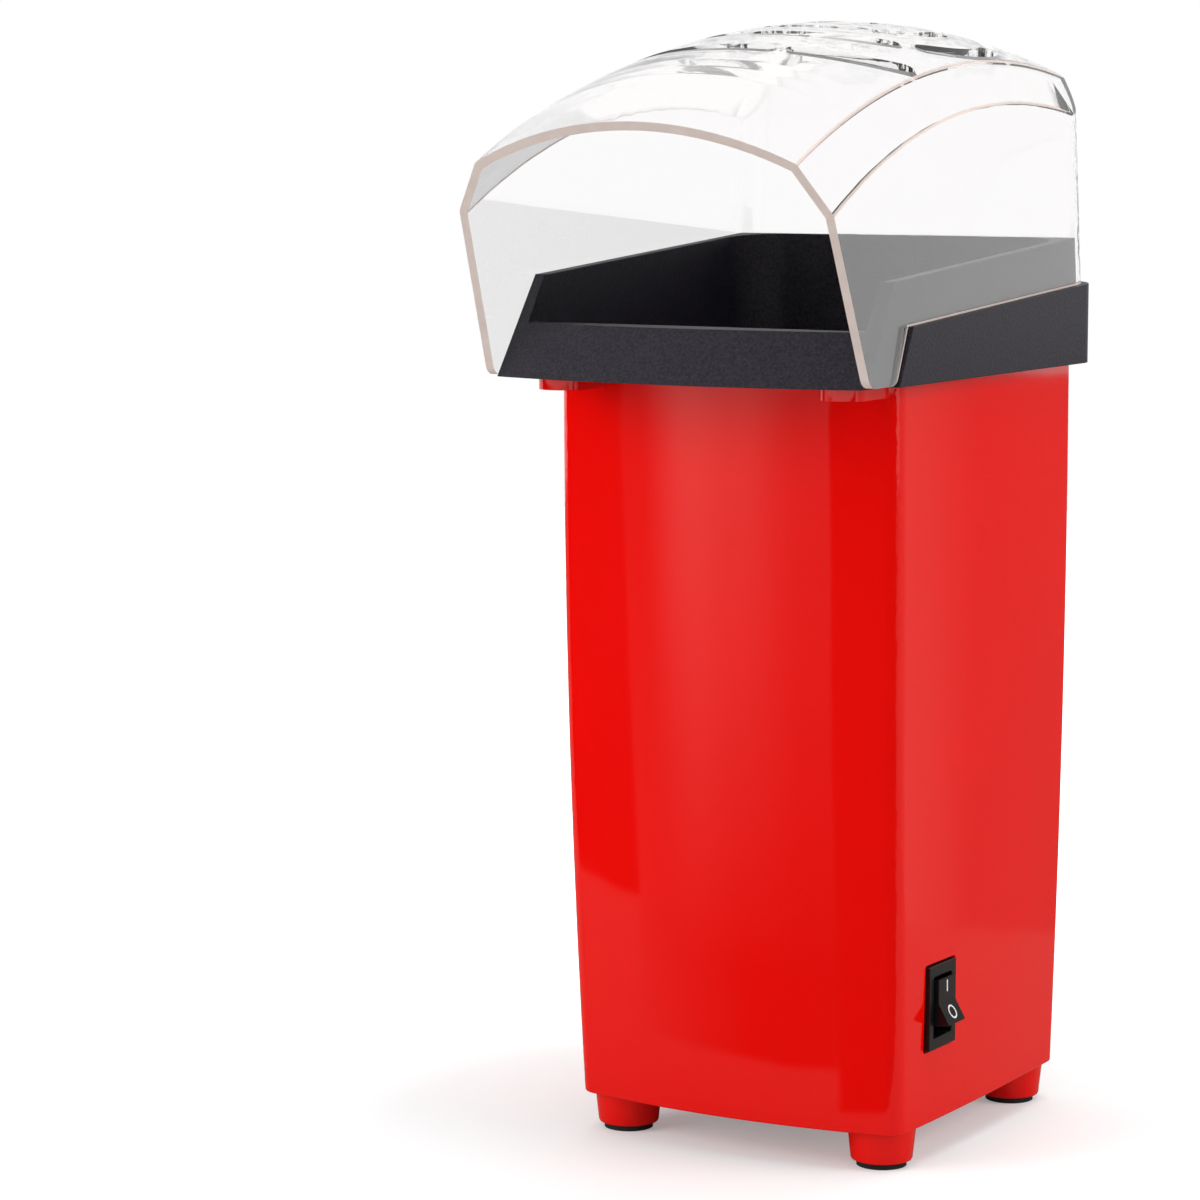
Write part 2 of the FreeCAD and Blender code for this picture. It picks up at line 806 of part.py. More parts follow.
bush_solid = fuse(lying_rod("bush_x", "bush_seat", "bush_seat + bush_flange_thickness", "bush_z",
                            "bush_flange"),
                  lying_rod("bush_x", "bush_seat - bush_pad", "bush_seat", "bush_z", "bush_neck"),
                  lying_rod("bush_x", "bush_seat - bush_pad - bush_flange_thickness",
                            "bush_seat - bush_pad",
                            "bush_z", "bush_flange"))
cord_bush = node(cut(bush_solid,
                     lying_rod("bush_x", "bush_seat - cut_past", "bush_seat + cut_past", "bush_z",
                                           "bush_bore")), "cord_bush")

# Motor under the fan housing, with its rectifier board

derive("bearing_high", "housing_floor + bearing_stand")
derive("motor_screw_x", "motor_radius * 0.62")
derive("shaft_hole", "shaft_radius + running_fit")

motor_shell = turned("MotorShell", ("bearing_radius", "housing_floor - motor_wall"),
                     ("can_inner", "housing_floor - motor_wall"), ("can_inner", "can_low"),
                     ("motor_radius", "can_low"), ("motor_radius", "housing_floor"),
                     ("bearing_radius", "housing_floor"))
motor_can = node(cut(motor_shell,
                     *[rod(side + "motor_screw_x", "0", "housing_floor - 5", "housing_floor + 1",
                                        "screw_pilot") for side in ("", "-")]), "motor_can")
motor_end_cap = node(turned("EndCap", ("bearing_radius", "cap_low"), ("motor_radius", "cap_low"),
                            ("motor_radius", "can_low"), ("can_inner - snug_gap", "can_low"),
                            ("can_inner - snug_gap", "can_low + cap_spigot"),
                            ("bearing_radius", "can_low + cap_spigot")),
                     "motor_end_cap")
motor_bushes = node(group(ring("0", "0", "bearing_high - bearing_length", "bearing_high",
                               "bearing_radius",
                               "shaft_hole"),
                          ring("0", "0", "cap_low", "cap_low + bearing_length", "bearing_radius",
                               "shaft_hole")),
                          "motor_bushes")
magnet_low = "can_low + magnet_lift"
magnet_pieces = []
for turn in (30, 210):
    halves = []
    for radius in ("can_inner", "can_inner - magnet_thickness"):
        sector = rod("0", "0", magnet_low, magnet_low + " + magnet_length", radius)
        sector.Angle = 120
        sector.Placement.Rotation = FreeCAD.Rotation(Vector(0, 0, 1), turn)
        halves.append(sector)
    magnet_pieces.append(cut(*halves))
motor_magnets = node(group(*magnet_pieces), "motor_magnets")
core_low = "can_low + armature_lift"
core_high = core_low + " + armature_length"
winding_low = core_low + " - winding_head"
commutator_low = winding_low + " - commutator_length"
motor_armature = node(turned("Armature", ("shaft_radius", commutator_low),
                             ("commutator_radius", commutator_low),
                             ("commutator_radius", winding_low),
                             ("winding_radius", winding_low),
                             ("winding_radius", core_low), ("armature_radius", core_low),
                             ("armature_radius", core_high), ("winding_radius", core_high),
                             ("winding_radius", core_high + " + winding_head"),
                             ("shaft_radius", core_high + " + winding_head")), "motor_armature")
derive("shaft_low", "cap_low - shaft_tail")
motor_shaft = node(turned("Shaft", ("0", "shaft_low"), ("shaft_radius", "shaft_low"),
                          ("shaft_radius", "shaft_high"), ("0", "shaft_high")),
                   "motor_shaft")

tab_boxes = []
tab_holes = []
for side in ("", "-"):
    middle = side + "tab_offset"
    tab = (middle + " - tab_thickness / 2", middle + " + tab_thickness / 2", "-tab_width / 2",
           "tab_width / 2")
    tab_boxes.append(box(*tab, "board_low - tab_tail", "cap_low"))
    tab_holes.append(box(*tab, "board_low - 1", "board_top + 1"))
motor_terminals = node(group(*tab_boxes), "motor_terminals")
rectifier_board = node(cut(rod("0", "0", "board_low", "board_top", "board_radius"),
                           rod("0", "0", "board_low - 1", "board_top + 1", "bearing_radius"), *tab_holes),
                       "rectifier_board")
rectifier_diodes = node(group(*[lying_rod(x, "%s - diode_length / 2" % y, "%s + diode_length / 2" % y,
                                          "board_low - diode_radius", "diode_radius")
                                for x, y in corners("diode_x", "-diode_y", "diode_y")]),
                                "rectifier_diodes")
motor_screws = node(screws_at("motor_screw_length", [(side + "motor_screw_x", "0", "floor_top")
                                                     for side in ("", "-")], down=True), "motor_screws")

# Fan housing: cup on the posts, with the air inlet, a seat for the heater and a socket for the sleeve

cup = turned("FanCup", ("bearing_radius + free_gap", "housing_floor"), ("housing_outer", "housing_floor"),
             ("housing_outer", "housing_top"), ("sleeve_radius + running_fit", "housing_top"),
             ("sleeve_radius + running_fit", "seat_top"), ("heater_seat_inner", "seat_top"),
             ("heater_seat_inner", "seat_low"), ("housing_inner", "seat_low"),
             ("housing_inner", "floor_top"),
             ("bearing_radius + free_gap", "floor_top"))
spokes = fuse(box("-inlet_outer - 2", "inlet_outer + 2", "-inlet_spoke / 2", "inlet_spoke / 2",
                  "housing_floor - 1", "floor_top + 1"),
              box("-inlet_spoke / 2", "inlet_spoke / 2", "-inlet_outer - 2", "inlet_outer + 2",
                  "housing_floor - 1", "floor_top + 1"))
inlet = cut(ring("0", "0", "housing_floor - 1", "floor_top + 1", "inlet_outer", "inlet_inner"), spokes)
housing_holes = [rod(x, y, "housing_floor - 1", "floor_top + 1", "screw_hole")
                 for x, y in post_places + [("motor_screw_x", "0"), ("-motor_screw_x", "0")]]
fan_housing = node(cut(cup, inlet, *housing_holes), "fan_housing")
housing_screws = node(screws_at("housing_screw_length", [(x, y, "floor_top") for x, y in post_places],
                                down=True),
                      "housing_screws")

# Fan: hub pressed on the shaft, pitched blades, and a push-on clip above it

fan_impeller = turned("FanImpeller", ("shaft_radius", "fan_low"), ("hub_radius", "fan_low"),
                      ("hub_radius", "fan_high"), ("shaft_radius", "fan_high"))
blade_middle = "(fan_low + fan_high) / 2"
half_along = "blade_chord / 2 * cos(blade_pitch)"
half_rise = "blade_chord / 2 * sin(blade_pitch)"
skew_along = "blade_thickness / 2 * sin(blade_pitch)"
skew_rise = "blade_thickness / 2 * cos(blade_pitch)"
blade_sketch = outline(body_sketch(fan_impeller, "YZ", "hub_radius - blade_root"),
                       ("-%s + %s" % (half_along, skew_along),
                        "%s - %s - %s" % (blade_middle, half_rise, skew_rise)),
                       ("%s + %s" % (half_along, skew_along),
                        "%s + %s - %s" % (blade_middle, half_rise, skew_rise)),
                       ("%s - %s" % (half_along, skew_along),
                        "%s + %s + %s" % (blade_middle, half_rise, skew_rise)),
                       ("-%s - %s" % (half_along, skew_along),
                        "%s - %s + %s" % (blade_middle, half_rise, skew_rise)))
blade = fan_impeller.newObject("PartDesign::Pad", "Blade")
blade.Profile = blade_sketch
bind(blade, "Length", "fan_radius - hub_radius + blade_root")
doc.recompute()
polar(fan_impeller, blade, "blade_count")
node(fan_impeller, "fan_impeller")
fan_clip = node(ring("0", "0", "fan_high", "fan_high + clip_thickness", "clip_radius", "shaft_radius"),
                "fan_clip")

# Hot air sleeve round the heater and the lower chamber

derive("sleeve_top", "seat_top + sleeve_length")
hot_air_sleeve = node(turned("Sleeve", ("sleeve_inner", "seat_top"), ("sleeve_radius", "seat_top"),
                             ("sleeve_radius", "sleeve_top"), ("chamber_outer + free_gap", "sleeve_top"),
                             ("chamber_outer + free_gap", "sleeve_top - sleeve_wall"),
                             ("sleeve_inner", "sleeve_top - sleeve_wall")), "hot_air_sleeve")

# Heater: two mica plates slotted into a cross, with a resistance wire wound round their edges

derive("mica_reach", "sleeve_inner - free_gap")
derive("mica_middle", "(seat_top + mica_top) / 2")
half_mica = "mica_thickness / 2"


def mica(along_x, slot_low, slot_high):
    """One plate of the cross: a long foot on the seat, a shorter upper part, a slot for the other plate."""
    spans = [("mica_reach", "seat_top", "mica_step"), ("mica_half", "mica_step", "mica_top")]
    pieces = []
    for reach, low, high in spans:
        long_side = ("-" + reach, reach)
        thin_side = ("-" + half_mica, half_mica)
        pieces.append(box(*(long_side + thin_side if along_x else thin_side + long_side), low, high))
    slot = box("-" + half_mica, half_mica, "-" + half_mica, half_mica, slot_low, slot_high)
    return cut(fuse(*pieces), slot)


mica_plate_upper = node(mica(True, "seat_top - 1", "mica_middle"), "mica_plate_upper")
mica_plate_lower = node(mica(False, "mica_middle", "mica_top + 1"), "mica_plate_lower")


def biarc(start, start_way, end, end_way):
    """Two arcs that leave one point and reach another along given directions."""
    chord = end - start
    both = start_way + end_way
    bend = 2 * (1 - start_way.dot(end_way))
    pull = (math.sqrt(chord.dot(both) ** 2 + bend * chord.dot(chord)) - chord.dot(both)) / bend
    knees = [start + start_way * pull, end - end_way * pull]
    meeting = (knees[0] + knees[1]) * 0.5
    arcs = []
    for first, knee, last in ((start, knees[0], meeting), (meeting, knees[1], end)):
        weight = math.cos((knee - first).getAngle(last - knee) / 2)
        middle = (first + knee * (2 * weight) + last) * (1 / (2 + 2 * weight))
        arcs.append(Part.Arc(first, middle, last).toShape())
    return arcs


def winding():
    """The wound wire as one pipe along quarter-turn biarcs, and its least gap to itself."""
    radius = value("mica_half + coil_gap + wire_radius")
    pitch = value("coil_pitch")
    wire = value("wire_radius")
    low = value("mica_step + coil_lift")
    rise = pitch / (2 * math.pi)

    def spot(angle):
        return Vector(radius * math.cos(angle), radius * math.sin(angle), low + rise * angle)

    def way(angle):
        return Vector(-radius * math.sin(angle), radius * math.cos(angle), rise).normalize()

    edges = []
    quarter = math.pi / 2
    steps = int(value("coil_turns") * 4)
    for step in range(steps):
        edges += biarc(spot(step * quarter), way(step * quarter), spot((step + 1) * quarter),
                       way((step + 1) * quarter))
    profile = Part.Wire(Part.Circle(spot(0), way(0), wire).toShape())
    pipe = Part.Wire(edges).makePipeShell([profile], True, False)
    marks = [spot(step * quarter / 4) for step in range(4 * steps + 1)]
    gap = min((marks[first] - marks[second]).Length for first in range(len(marks))
              for second in range(first + 8, len(marks))) - 2 * wire
    print("heater coil: least gap to itself %.2f mm" % gap)
    return pipe


heater_coil = doc.addObject("Part::Feature", "HeaterCoil")
heater_coil.Shape = winding()
node(heater_coil, "heater_coil")

# Thermostat: disc on a small steel plate against the sleeve, in the free back left corner

plate_high = "thermostat_z + thermostat_radius"
thermostat_solid = fuse(box("sleeve_radius", "sleeve_radius + thermostat_plate", "-plate_span",
                            "plate_span",
                            "thermostat_z - thermostat_radius", plate_high),
                        box("sleeve_radius + thermostat_plate",
                            "sleeve_radius + thermostat_plate + thermostat_depth",
                            "-thermostat_radius", "thermostat_radius",
                            "thermostat_z - thermostat_half_height",
                            "thermostat_z + thermostat_half_height"))
thermostat = node(thermostat_solid, "thermostat")
thermostat.Placement.Rotation = FreeCAD.Rotation(Vector(0, 0, 1), 135)
place(thermostat, y="axis_y")

# Popping chamber: drawn aluminium cup with slanted louvres near its floor, hung by four ears

derive("flange_low", "chamber_top - flange_thickness")
cup_outline = [("0", "chamber_low + chamber_crown"),
               ("chamber_radius - chamber_heel", "chamber_low"),
               ("chamber_outer", "chamber_low + chamber_heel"),
               ("chamber_outer", "flange_low"), ("flange_radius", "flange_low"),
               ("flange_radius", "chamber_top"),
               ("chamber_radius", "chamber_top"),
               ("chamber_radius", "chamber_low + chamber_heel + chamber_wall"),
               ("chamber_radius - chamber_heel", "chamber_low + chamber_wall"),
               ("0", "chamber_low + chamber_crown + chamber_wall")]
chamber_cup = turned("ChamberCup", *cup_outline)
doc.recompute()
louvre_middle = "chamber_low + chamber_heel + louvre_lift"
lean_across = "louvre_length / 2 * sin(louvre_slant)"
lean_up = "louvre_length / 2 * cos(louvre_slant)"
wide_across = "louvre_width / 2 * cos(louvre_slant)"
wide_up = "louvre_width / 2 * sin(louvre_slant)"
louvre_sketch = outline(body_sketch(chamber_cup, "XZ"),
                        ("-%s - %s" % (lean_across, wide_across),
                         "%s - %s + %s" % (louvre_middle, lean_up, wide_up)),
                        ("-%s + %s" % (lean_across, wide_across),
                         "%s - %s - %s" % (louvre_middle, lean_up, wide_up)),
                        ("%s + %s" % (lean_across, wide_across),
                         "%s + %s - %s" % (louvre_middle, lean_up, wide_up)),
                        ("%s - %s" % (lean_across, wide_across),
                         "%s + %s + %s" % (louvre_middle, lean_up, wide_up)))
louvre = chamber_cup.newObject("PartDesign::Pocket", "Louvre")
louvre.Profile = louvre_sketch
bind(louvre, "Length", "chamber_outer + cut_past")
doc.recompute()
polar(chamber_cup, louvre, "louvre_count")
ear_places = corners("ear_offset", "-ear_offset", "ear_offset")
flange_hole = rod("0", "0", "flange_low - cut_past", "chamber_top + cut_past", "chamber_outer + free_gap")
ears = [cut(rod(x, y, "flange_low", "chamber_top", "ear_radius"), flange_hole) for x, y in ear_places]
ear_holes = [rod(x, y, "flange_low - 1", "chamber_top + 1", "screw_hole") for x, y in ear_places]
popping_chamber = node(cut(fuse(chamber_cup, *ears), *ear_holes), "popping_chamber")
chamber_screws = node(screws_at("chamber_screw_length", [(x, y, "flange_low") for x, y in ear_places]),
                      "chamber_screws")

# Collar: black spout part on top of the body, with a ledge and a raised wall for the clear cover


def horseshoe(sketch, half, front, back, radius):
    """A plan outline open to the front: straight sides, rounded back corners."""
    return outline(sketch, ("-(%s)" % half, front), (half, front),
                   (half, "(%s) - (%s)" % (back, radius), radius),
                   ("(%s) - (%s)" % (half, radius), back),
                   ("(%s) - (%s)" % (radius, half), back, radius),
                   ("-(%s)" % half, "(%s) - (%s)" % (back, radius)))


def upright(half, front, back, radius, low, high):
    """An upright prism on a horseshoe plan."""
    return extrude(horseshoe(free_sketch("XY", z=low), half, front, back, radius), Vector(0, 0, 1),
                   "(%s) - (%s)" % (high, low))


derive("collar_low", "body_top")
derive("leg_low", "collar_low + leg_clearance")
derive("far_front", "-cover_reach - cut_past")


def drafted(inset):
    """The tapering inside or outside of the clear cover as a solid, drawn in by inset."""
    loft = doc.addObject("Part::Loft", "Taper")
    loft.Sections = [horseshoe(free_sketch("XY", z=level), "%s - (%s)" % (half, inset), "far_front",
                               "cover_back - (%s)" % inset, "cover_corner - (%s)" % inset)
                     for level, half in (("collar_low", "cover_half_low"),
                                         ("overall_height", "cover_half_high"))]
    loft.Solid = True
    loft.Ruled = True
    return loft


def front_slab(setback):
    """Everything behind the bowed, leaning front of the collar, set back by setback."""
    wide = "band_half + cut_past"
    bow_radius = "(band_half^2 + collar_bow^2) / (2 * collar_bow)"
    sag = "(%s) - sqrt((%s)^2 - (%s)^2)" % (bow_radius, bow_radius, wide)
    edge = "-collar_front - collar_bow + (%s) + (%s)" % (setback, sag)
    lean = value("collar_lean / wall_front_rise")
    sketch = outline(free_sketch("XY", z="collar_low - cut_past",
                                 y="-cut_past * collar_lean / wall_front_rise"),
                     ("-(%s)" % wide, edge, bow_radius), (wide, edge),
                     (wide, "band_back + 2 * cut_past"), ("-(%s)" % wide, "band_back + 2 * cut_past"))
    return extrude(sketch, Vector(0, lean, 1).normalize(),
                   "(wall_back_rise + 2 * cut_past) * %s" % math.hypot(1, lean))


def ledge(y):
    """Height of the ledge under the clear cover at a place along Y."""
    slope = "(ledge_back - ledge_front) / (band_front + band_back)"
    return "collar_low + ledge_front + %s * ((%s) + band_front)" % (slope, y)


wall_slope = "(wall_back_rise - wall_front_rise) / (collar_front - collar_lean + cover_back)"
wall_inset = "cover_wall + free_gap"
wall_rear = "cover_back - (%s)" % wall_inset
derive("wall_top_front", "collar_low + wall_front_rise")
derive("wall_top_back", "collar_low + wall_back_rise")
derive("deck_top", "collar_low + deck_thickness")
derive("lip_top", "collar_low + lip_rise")
derive("throat_radius", "chamber_radius")
derive("throat_outer", "throat_radius + throat_wall")

band = common(upright("band_half", "far_front", "band_back", "band_corner", "collar_low",
                      "overall_height"),
              side_prism("band_half + 5", ("-band_front_low", "collar_low"),
                         ("band_back + 5", "collar_low"),
                         ("band_back + 5", ledge("band_back + 5")),
                         ("-band_front", ledge("-band_front"))))
wall = common(drafted(wall_inset), front_slab("0"),
              side_prism("band_half + 5", ("far_front", "collar_low"), ("band_back + 5", "collar_low"),
                         ("band_back + 5", "wall_top_back - wall_corner"),
                         ("cover_back", "wall_top_back - wall_corner"),
                         ("cover_back - wall_corner", "wall_top_back"),
                         ("-collar_front + collar_lean", "wall_top_front"),
                         ("far_front", "wall_top_front")))
hopper = common(upright("hopper_half", "far_front", "hopper_back", "hopper_corner", "deck_top",
                        "overall_height"),
                side_prism("hopper_half + 5", ("hopper_back + 5", "deck_top"),
                           ("hopper_back + 5", "overall_height"),
                           ("far_front", "overall_height"), ("far_front", "lip_top"),
                           ("-collar_front + collar_lean / 2 + lip_thickness", "lip_top"),
                           ("-throat_radius - throat_land", "deck_top")))
apron_back = "-(body_front_top + front_bow + apron_gap)"
apron_top = "lip_top - collar_wall"
apron_reach = "lug_x - lug_radius - collar_wall / 2"
apron_hollow = common(front_slab("apron_skin"),
                      side_prism(apron_reach, ("far_front", "collar_low - 1"),
                                 (apron_back, "collar_low - 1"),
                                 (apron_back, "collar_low + apron_rise"), ("far_front", apron_top)))
groove = cut(upright("band_half - collar_wall", "-band_front + groove_front", "band_back - collar_wall",
                     "band_corner - collar_wall", "collar_low - 1", "collar_low + groove_height"),
             upright("hopper_half + collar_wall", "-band_front - groove_front",
                     "hopper_back + collar_wall",
                     "hopper_corner",
                     "collar_low - 2", "collar_low + groove_height + 1"))
throat_tube = rod("0", "0", "chamber_top + free_gap", "deck_top", "throat_outer")
tongue_inner = "body_inside - free_gap - tongue_thickness"
tongue_outer = "body_inside - free_gap"
tongue_low = "collar_low - tongue_depth"
back_inside = "body_back_top - body_wall - free_gap"
front_inside = "body_front_top - body_wall - free_gap"
half_tongue = "tongue_length / 2"
collar_parts = [
    box(tongue_inner, tongue_outer, "-" + half_tongue, half_tongue, tongue_low, "deck_top"),
    box("-(%s)" % tongue_outer, "-(%s)" % tongue_inner, "-" + half_tongue, half_tongue, tongue_low,
        "deck_top"),
    box("-" + half_tongue, half_tongue, "-(%s)" % front_inside, "-(%s) + tongue_thickness" % front_inside,
        tongue_low, "deck_top"),
    box("-hook_width / 2", "hook_width / 2", back_inside + " - tongue_thickness", back_inside,
        "hook_top - hook_height - 1", "deck_top"),
    box("-hook_width / 2", "hook_width / 2", back_inside + " - 0.5", "body_back_top - body_wall / 2",
        "hook_top - hook_height", "hook_top - free_gap"),
]
collar_holes = [rod("0", "0", "chamber_top - 5", "overall_height", "throat_radius")]
for x, y in ear_places:
    collar_parts.append(rod(x, y, "chamber_top", "deck_top", "ear_radius - 2"))
    collar_holes.append(rod(x, y, "chamber_top - 1", "chamber_top + chamber_screw_length", "screw_pilot"))
for side in ("", "-"):
    collar_holes.append(rod(side + "lug_x", "lug_y", "collar_low - 1", "collar_low + collar_screw_length",
                            "screw_pilot"))
collar_block = cut(fuse(band, wall), hopper, apron_hollow, groove)
collar = node(cut(fuse(collar_block, throat_tube, *collar_parts), *collar_holes), "collar")
derive("lug_seat", "body_top - lug_height + screw_head_height")
collar_screws = node(screws_at("collar_screw_length",
                               [(side + "lug_x", "lug_y", "lug_seat") for side in ("", "-")]),
                     "collar_screws")

# Clear cover: thin moulded hood with an arched top, open to the front, resting on the collar's ledge

derive("dome_z", "overall_height - dome_radius")
derive("arch_z", "dome_z + sqrt(dome_radius^2 - (cover_reach + dome_y)^2)")


def dome(inset):
    """The arched top and its sloping shoulders, swung about an axis along X, drawn in by inset."""
    wide = "cover_half_low + 10"
    drop = "(shoulder_drop - crease_drop) / (shoulder_half - crease_half)"
    crease = "crease_half - miter_across * (%s)" % inset
    crease_z = "overall_height - crease_drop - miter_down * (%s)" % inset
    rise = "overall_height - (%s) - (%s)" % (inset, crease_z)
    edge_z = "%s - %s * ((%s) - (%s))" % (crease_z, drop, wide, crease)
    low = "(dome_z + overall_height) / 2"
    arch_radius = "((%s)^2 + (%s)^2) / (2 * (%s))" % (crease, rise, rise)
    sketch = outline(free_sketch("XZ", y="dome_y"), ("-(%s)" % wide, low), (wide, low), (wide, edge_z),
                     (crease, crease_z, arch_radius), ("-(%s)" % crease, crease_z),
                     ("-(%s)" % wide, edge_z))
    swing = doc.addObject("Part::Revolution", "Dome")
    swing.Source = sketch
    swing.Axis = Vector(1, 0, 0)
    bind(swing, "Base.y", "dome_y")
    bind(swing, "Base.z", "dome_z")
    swing.Angle = 80
    swing.Symmetric = True
    swing.Solid = True
    return swing


leg_back_low = "-(band_front_low + leg_clearance)"
leg_back_high = "-(band_front + leg_clearance)"
derive("front_lean", "(cover_reach - leg_front) / (arch_z - leg_low)")
derive("back_lean", "(band_front_low - band_front) / (%s - leg_low)" % ledge(leg_back_high))
derive("front_slant", "sqrt(1 + front_lean ^ 2)")
derive("front_trim", "leg_tip_radius / (front_slant + front_lean)")
derive("back_slant", "sqrt(1 + back_lean ^ 2)")
derive("back_trim", "leg_tip_radius / (back_slant + back_lean)")
cover_side = side_prism("cover_half_low + 5",
                        ("-leg_front - front_trim * front_lean / front_slant",
                         "leg_low + front_trim / front_slant", "leg_tip_radius"),
                        ("-leg_front + front_trim", "leg_low"),
                        (leg_back_low + " - back_trim", "leg_low", "leg_tip_radius"),
                        (leg_back_low + " + back_trim * back_lean / back_slant",
                         "leg_low + back_trim / back_slant"),
                        (leg_back_high, ledge(leg_back_high)),
                        ("cover_back + 5", ledge("cover_back + 5")),
                        ("cover_back + 5", "overall_height + 10"),
                        ("-leg_front - front_lean * (overall_height + 10 - leg_low)",
                         "overall_height + 10"))
cover_skin = cut(common(drafted("0"), dome("0"), cover_side),
                 common(drafted("cover_wall"), dome("cover_wall")))


def arc_slot(radius, start, sweep):
    """One round-ended vent slot on a circle about the vent centre; angles in degrees from +X."""
    low = "overall_height - shoulder_drop - 10"
    high = "overall_height + 5"
    pieces = []
    sectors = []
    for edge in ("%s + vent_width / 2" % radius, "%s - vent_width / 2" % radius):
        sector = rod("0", "vent_y", low, high, edge)
        sector.Angle = sweep
        sector.Placement.Rotation = FreeCAD.Rotation(Vector(0, 0, 1), start)
        sectors.append(sector)
    pieces.append(cut(*sectors))
    for angle in (start, start + sweep):
        pieces.append(rod("%s * cos(%s)" % (radius, angle), "vent_y + %s * sin(%s)" % (radius, angle),
                          low, high,
                          "vent_width / 2"))
    return pieces


def slot_ring(radius, start, sweep, count):
    """Equal vent slots all round a circle."""
    slots = []
    for number in range(count):
        slots += arc_slot(radius, start + number * 360 / count, sweep)
    return slots


vents = slot_ring("vent_inner", -90, 84, 3)
vents += slot_ring("vent_middle", -91, 46, 6)
vents += slot_ring("vent_outer", -91, 48, 6)
vents += arc_slot("vent_front", -120, 40)
vents += arc_slot("vent_front", -73, 27)
clear_cover = node(cut(cover_skin, *vents), "clear_cover")

doc.recompute()
faults = [thing.Label for thing in doc.Objects if {"Invalid", "Error"} & set(thing.State)]
for thing in nodes:
    shape = thing.Shape
    if shape.isNull() or not shape.isValid() or not shape.Solids:
        faults.append(thing.Label)
if faults:
    raise RuntimeError("not built: " + ", ".join(faults))
for thing in nodes:
    shape = thing.Shape
    shape.exportStep("parts/%s.step" % thing.Label)
    bounds = shape.BoundBox
    print("%-18s %2d solids  x %.1f %.1f  y %.1f %.1f  z %.1f %.1f" % (
        thing.Label, len(shape.Solids), bounds.XMin, bounds.XMax, bounds.YMin, bounds.YMax, bounds.ZMin,
        bounds.ZMax))
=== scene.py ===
import json
import math

import bmesh
import bpy
from mathutils import Matrix, Vector


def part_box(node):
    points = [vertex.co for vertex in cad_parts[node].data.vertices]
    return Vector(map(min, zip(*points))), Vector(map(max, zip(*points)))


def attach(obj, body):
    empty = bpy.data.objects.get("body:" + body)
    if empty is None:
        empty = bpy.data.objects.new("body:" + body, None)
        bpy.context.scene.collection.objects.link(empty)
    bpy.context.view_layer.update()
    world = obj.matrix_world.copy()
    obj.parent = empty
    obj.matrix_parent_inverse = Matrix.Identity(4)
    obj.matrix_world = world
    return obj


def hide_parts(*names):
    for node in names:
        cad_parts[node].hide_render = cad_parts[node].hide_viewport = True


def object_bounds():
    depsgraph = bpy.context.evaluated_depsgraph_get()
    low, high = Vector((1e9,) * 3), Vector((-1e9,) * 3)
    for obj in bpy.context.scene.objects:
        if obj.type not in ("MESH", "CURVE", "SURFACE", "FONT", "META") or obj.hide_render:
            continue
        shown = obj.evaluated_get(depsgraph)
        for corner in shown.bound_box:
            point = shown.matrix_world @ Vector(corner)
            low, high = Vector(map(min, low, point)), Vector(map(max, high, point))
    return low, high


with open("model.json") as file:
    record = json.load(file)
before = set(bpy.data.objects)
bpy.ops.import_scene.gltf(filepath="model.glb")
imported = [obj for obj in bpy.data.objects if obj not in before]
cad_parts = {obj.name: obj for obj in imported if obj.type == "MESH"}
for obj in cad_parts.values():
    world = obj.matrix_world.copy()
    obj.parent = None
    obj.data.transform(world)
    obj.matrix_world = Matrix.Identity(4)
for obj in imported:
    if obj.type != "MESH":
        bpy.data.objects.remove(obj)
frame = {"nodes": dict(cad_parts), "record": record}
cad_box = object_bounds()

# Base cover: the red floor of the machine with four stub feet, injection moulded in glossy ABS and
# screwed up into the body from below.


def colour(hex_value):
    """An sRGB hex value as linear RGBA."""
    parts = [int(hex_value[i:i + 2], 16) / 255 for i in (1, 3, 5)]
    return [c / 12.92 if c <= 0.04045 else ((c + 0.055) / 1.055) ** 2.4 for c in parts] + [1.0]


def add(material, kind, inputs=None, **settings):
    """Add one shader node: settings by property name, plain values and links by socket."""
    node = material.node_tree.nodes.new("ShaderNode" + kind)
    for name, value in settings.items():
        setattr(node, name, value)
    for socket, value in (inputs or {}).items():
        if isinstance(value, bpy.types.NodeSocket):
            material.node_tree.links.new(value, node.inputs[socket])
        else:
            node.inputs[socket].default_value = value
    return node


def blank(name):
    """An empty material that is ready for its nodes."""
    material = bpy.data.materials.new(name)
    material.use_nodes = True
    material.node_tree.nodes.clear()
    return material


def per_mm(size):
    """Texture scale, in cells per metre, for a feature of so many millimetres."""
    return 1000 / size


def runs(edges):
    """Edges sorted into runs that touch, so that a tight spot narrows the rounding of its own run only."""
    left = dict.fromkeys(edges)
    found = []
    for first in edges:
        if first in left:
            run = [first]
            del left[first]
            for edge in run:
                for near in [e for v in edge.verts for e in v.link_edges]:
                    if near in left:
                        del left[near]
                        run.append(near)
            found.append(run)
    return found


def round_off(bm, edges, radius_mm, segments=2):
    """Bevel runs of edges to a small radius and return the new faces."""
    made = []
    for run in runs(edges):
        bevel = bmesh.ops.bevel(bm, geom=run, offset=radius_mm / 1000, offset_type="OFFSET", affect="EDGES",
                                segments=segments, profile=0.5, material=-1, clamp_overlap=True,
                                miter_outer="ARC")
        made += bevel["faces"]
    return [face for face in made if face.is_valid]


def merged_copy(node_name):
    """A CAD node's mesh as one closed skin with few faces."""
    same_point, flat_bend = 2e-6, math.radians(0.6)
    bm = bmesh.new()
    bm.from_mesh(frame["nodes"][node_name].data)
    bmesh.ops.remove_doubles(bm, verts=bm.verts, dist=same_point)
    bmesh.ops.dissolve_limit(bm, angle_limit=flat_bend, verts=bm.verts, edges=bm.edges, delimit=set())
    return bm


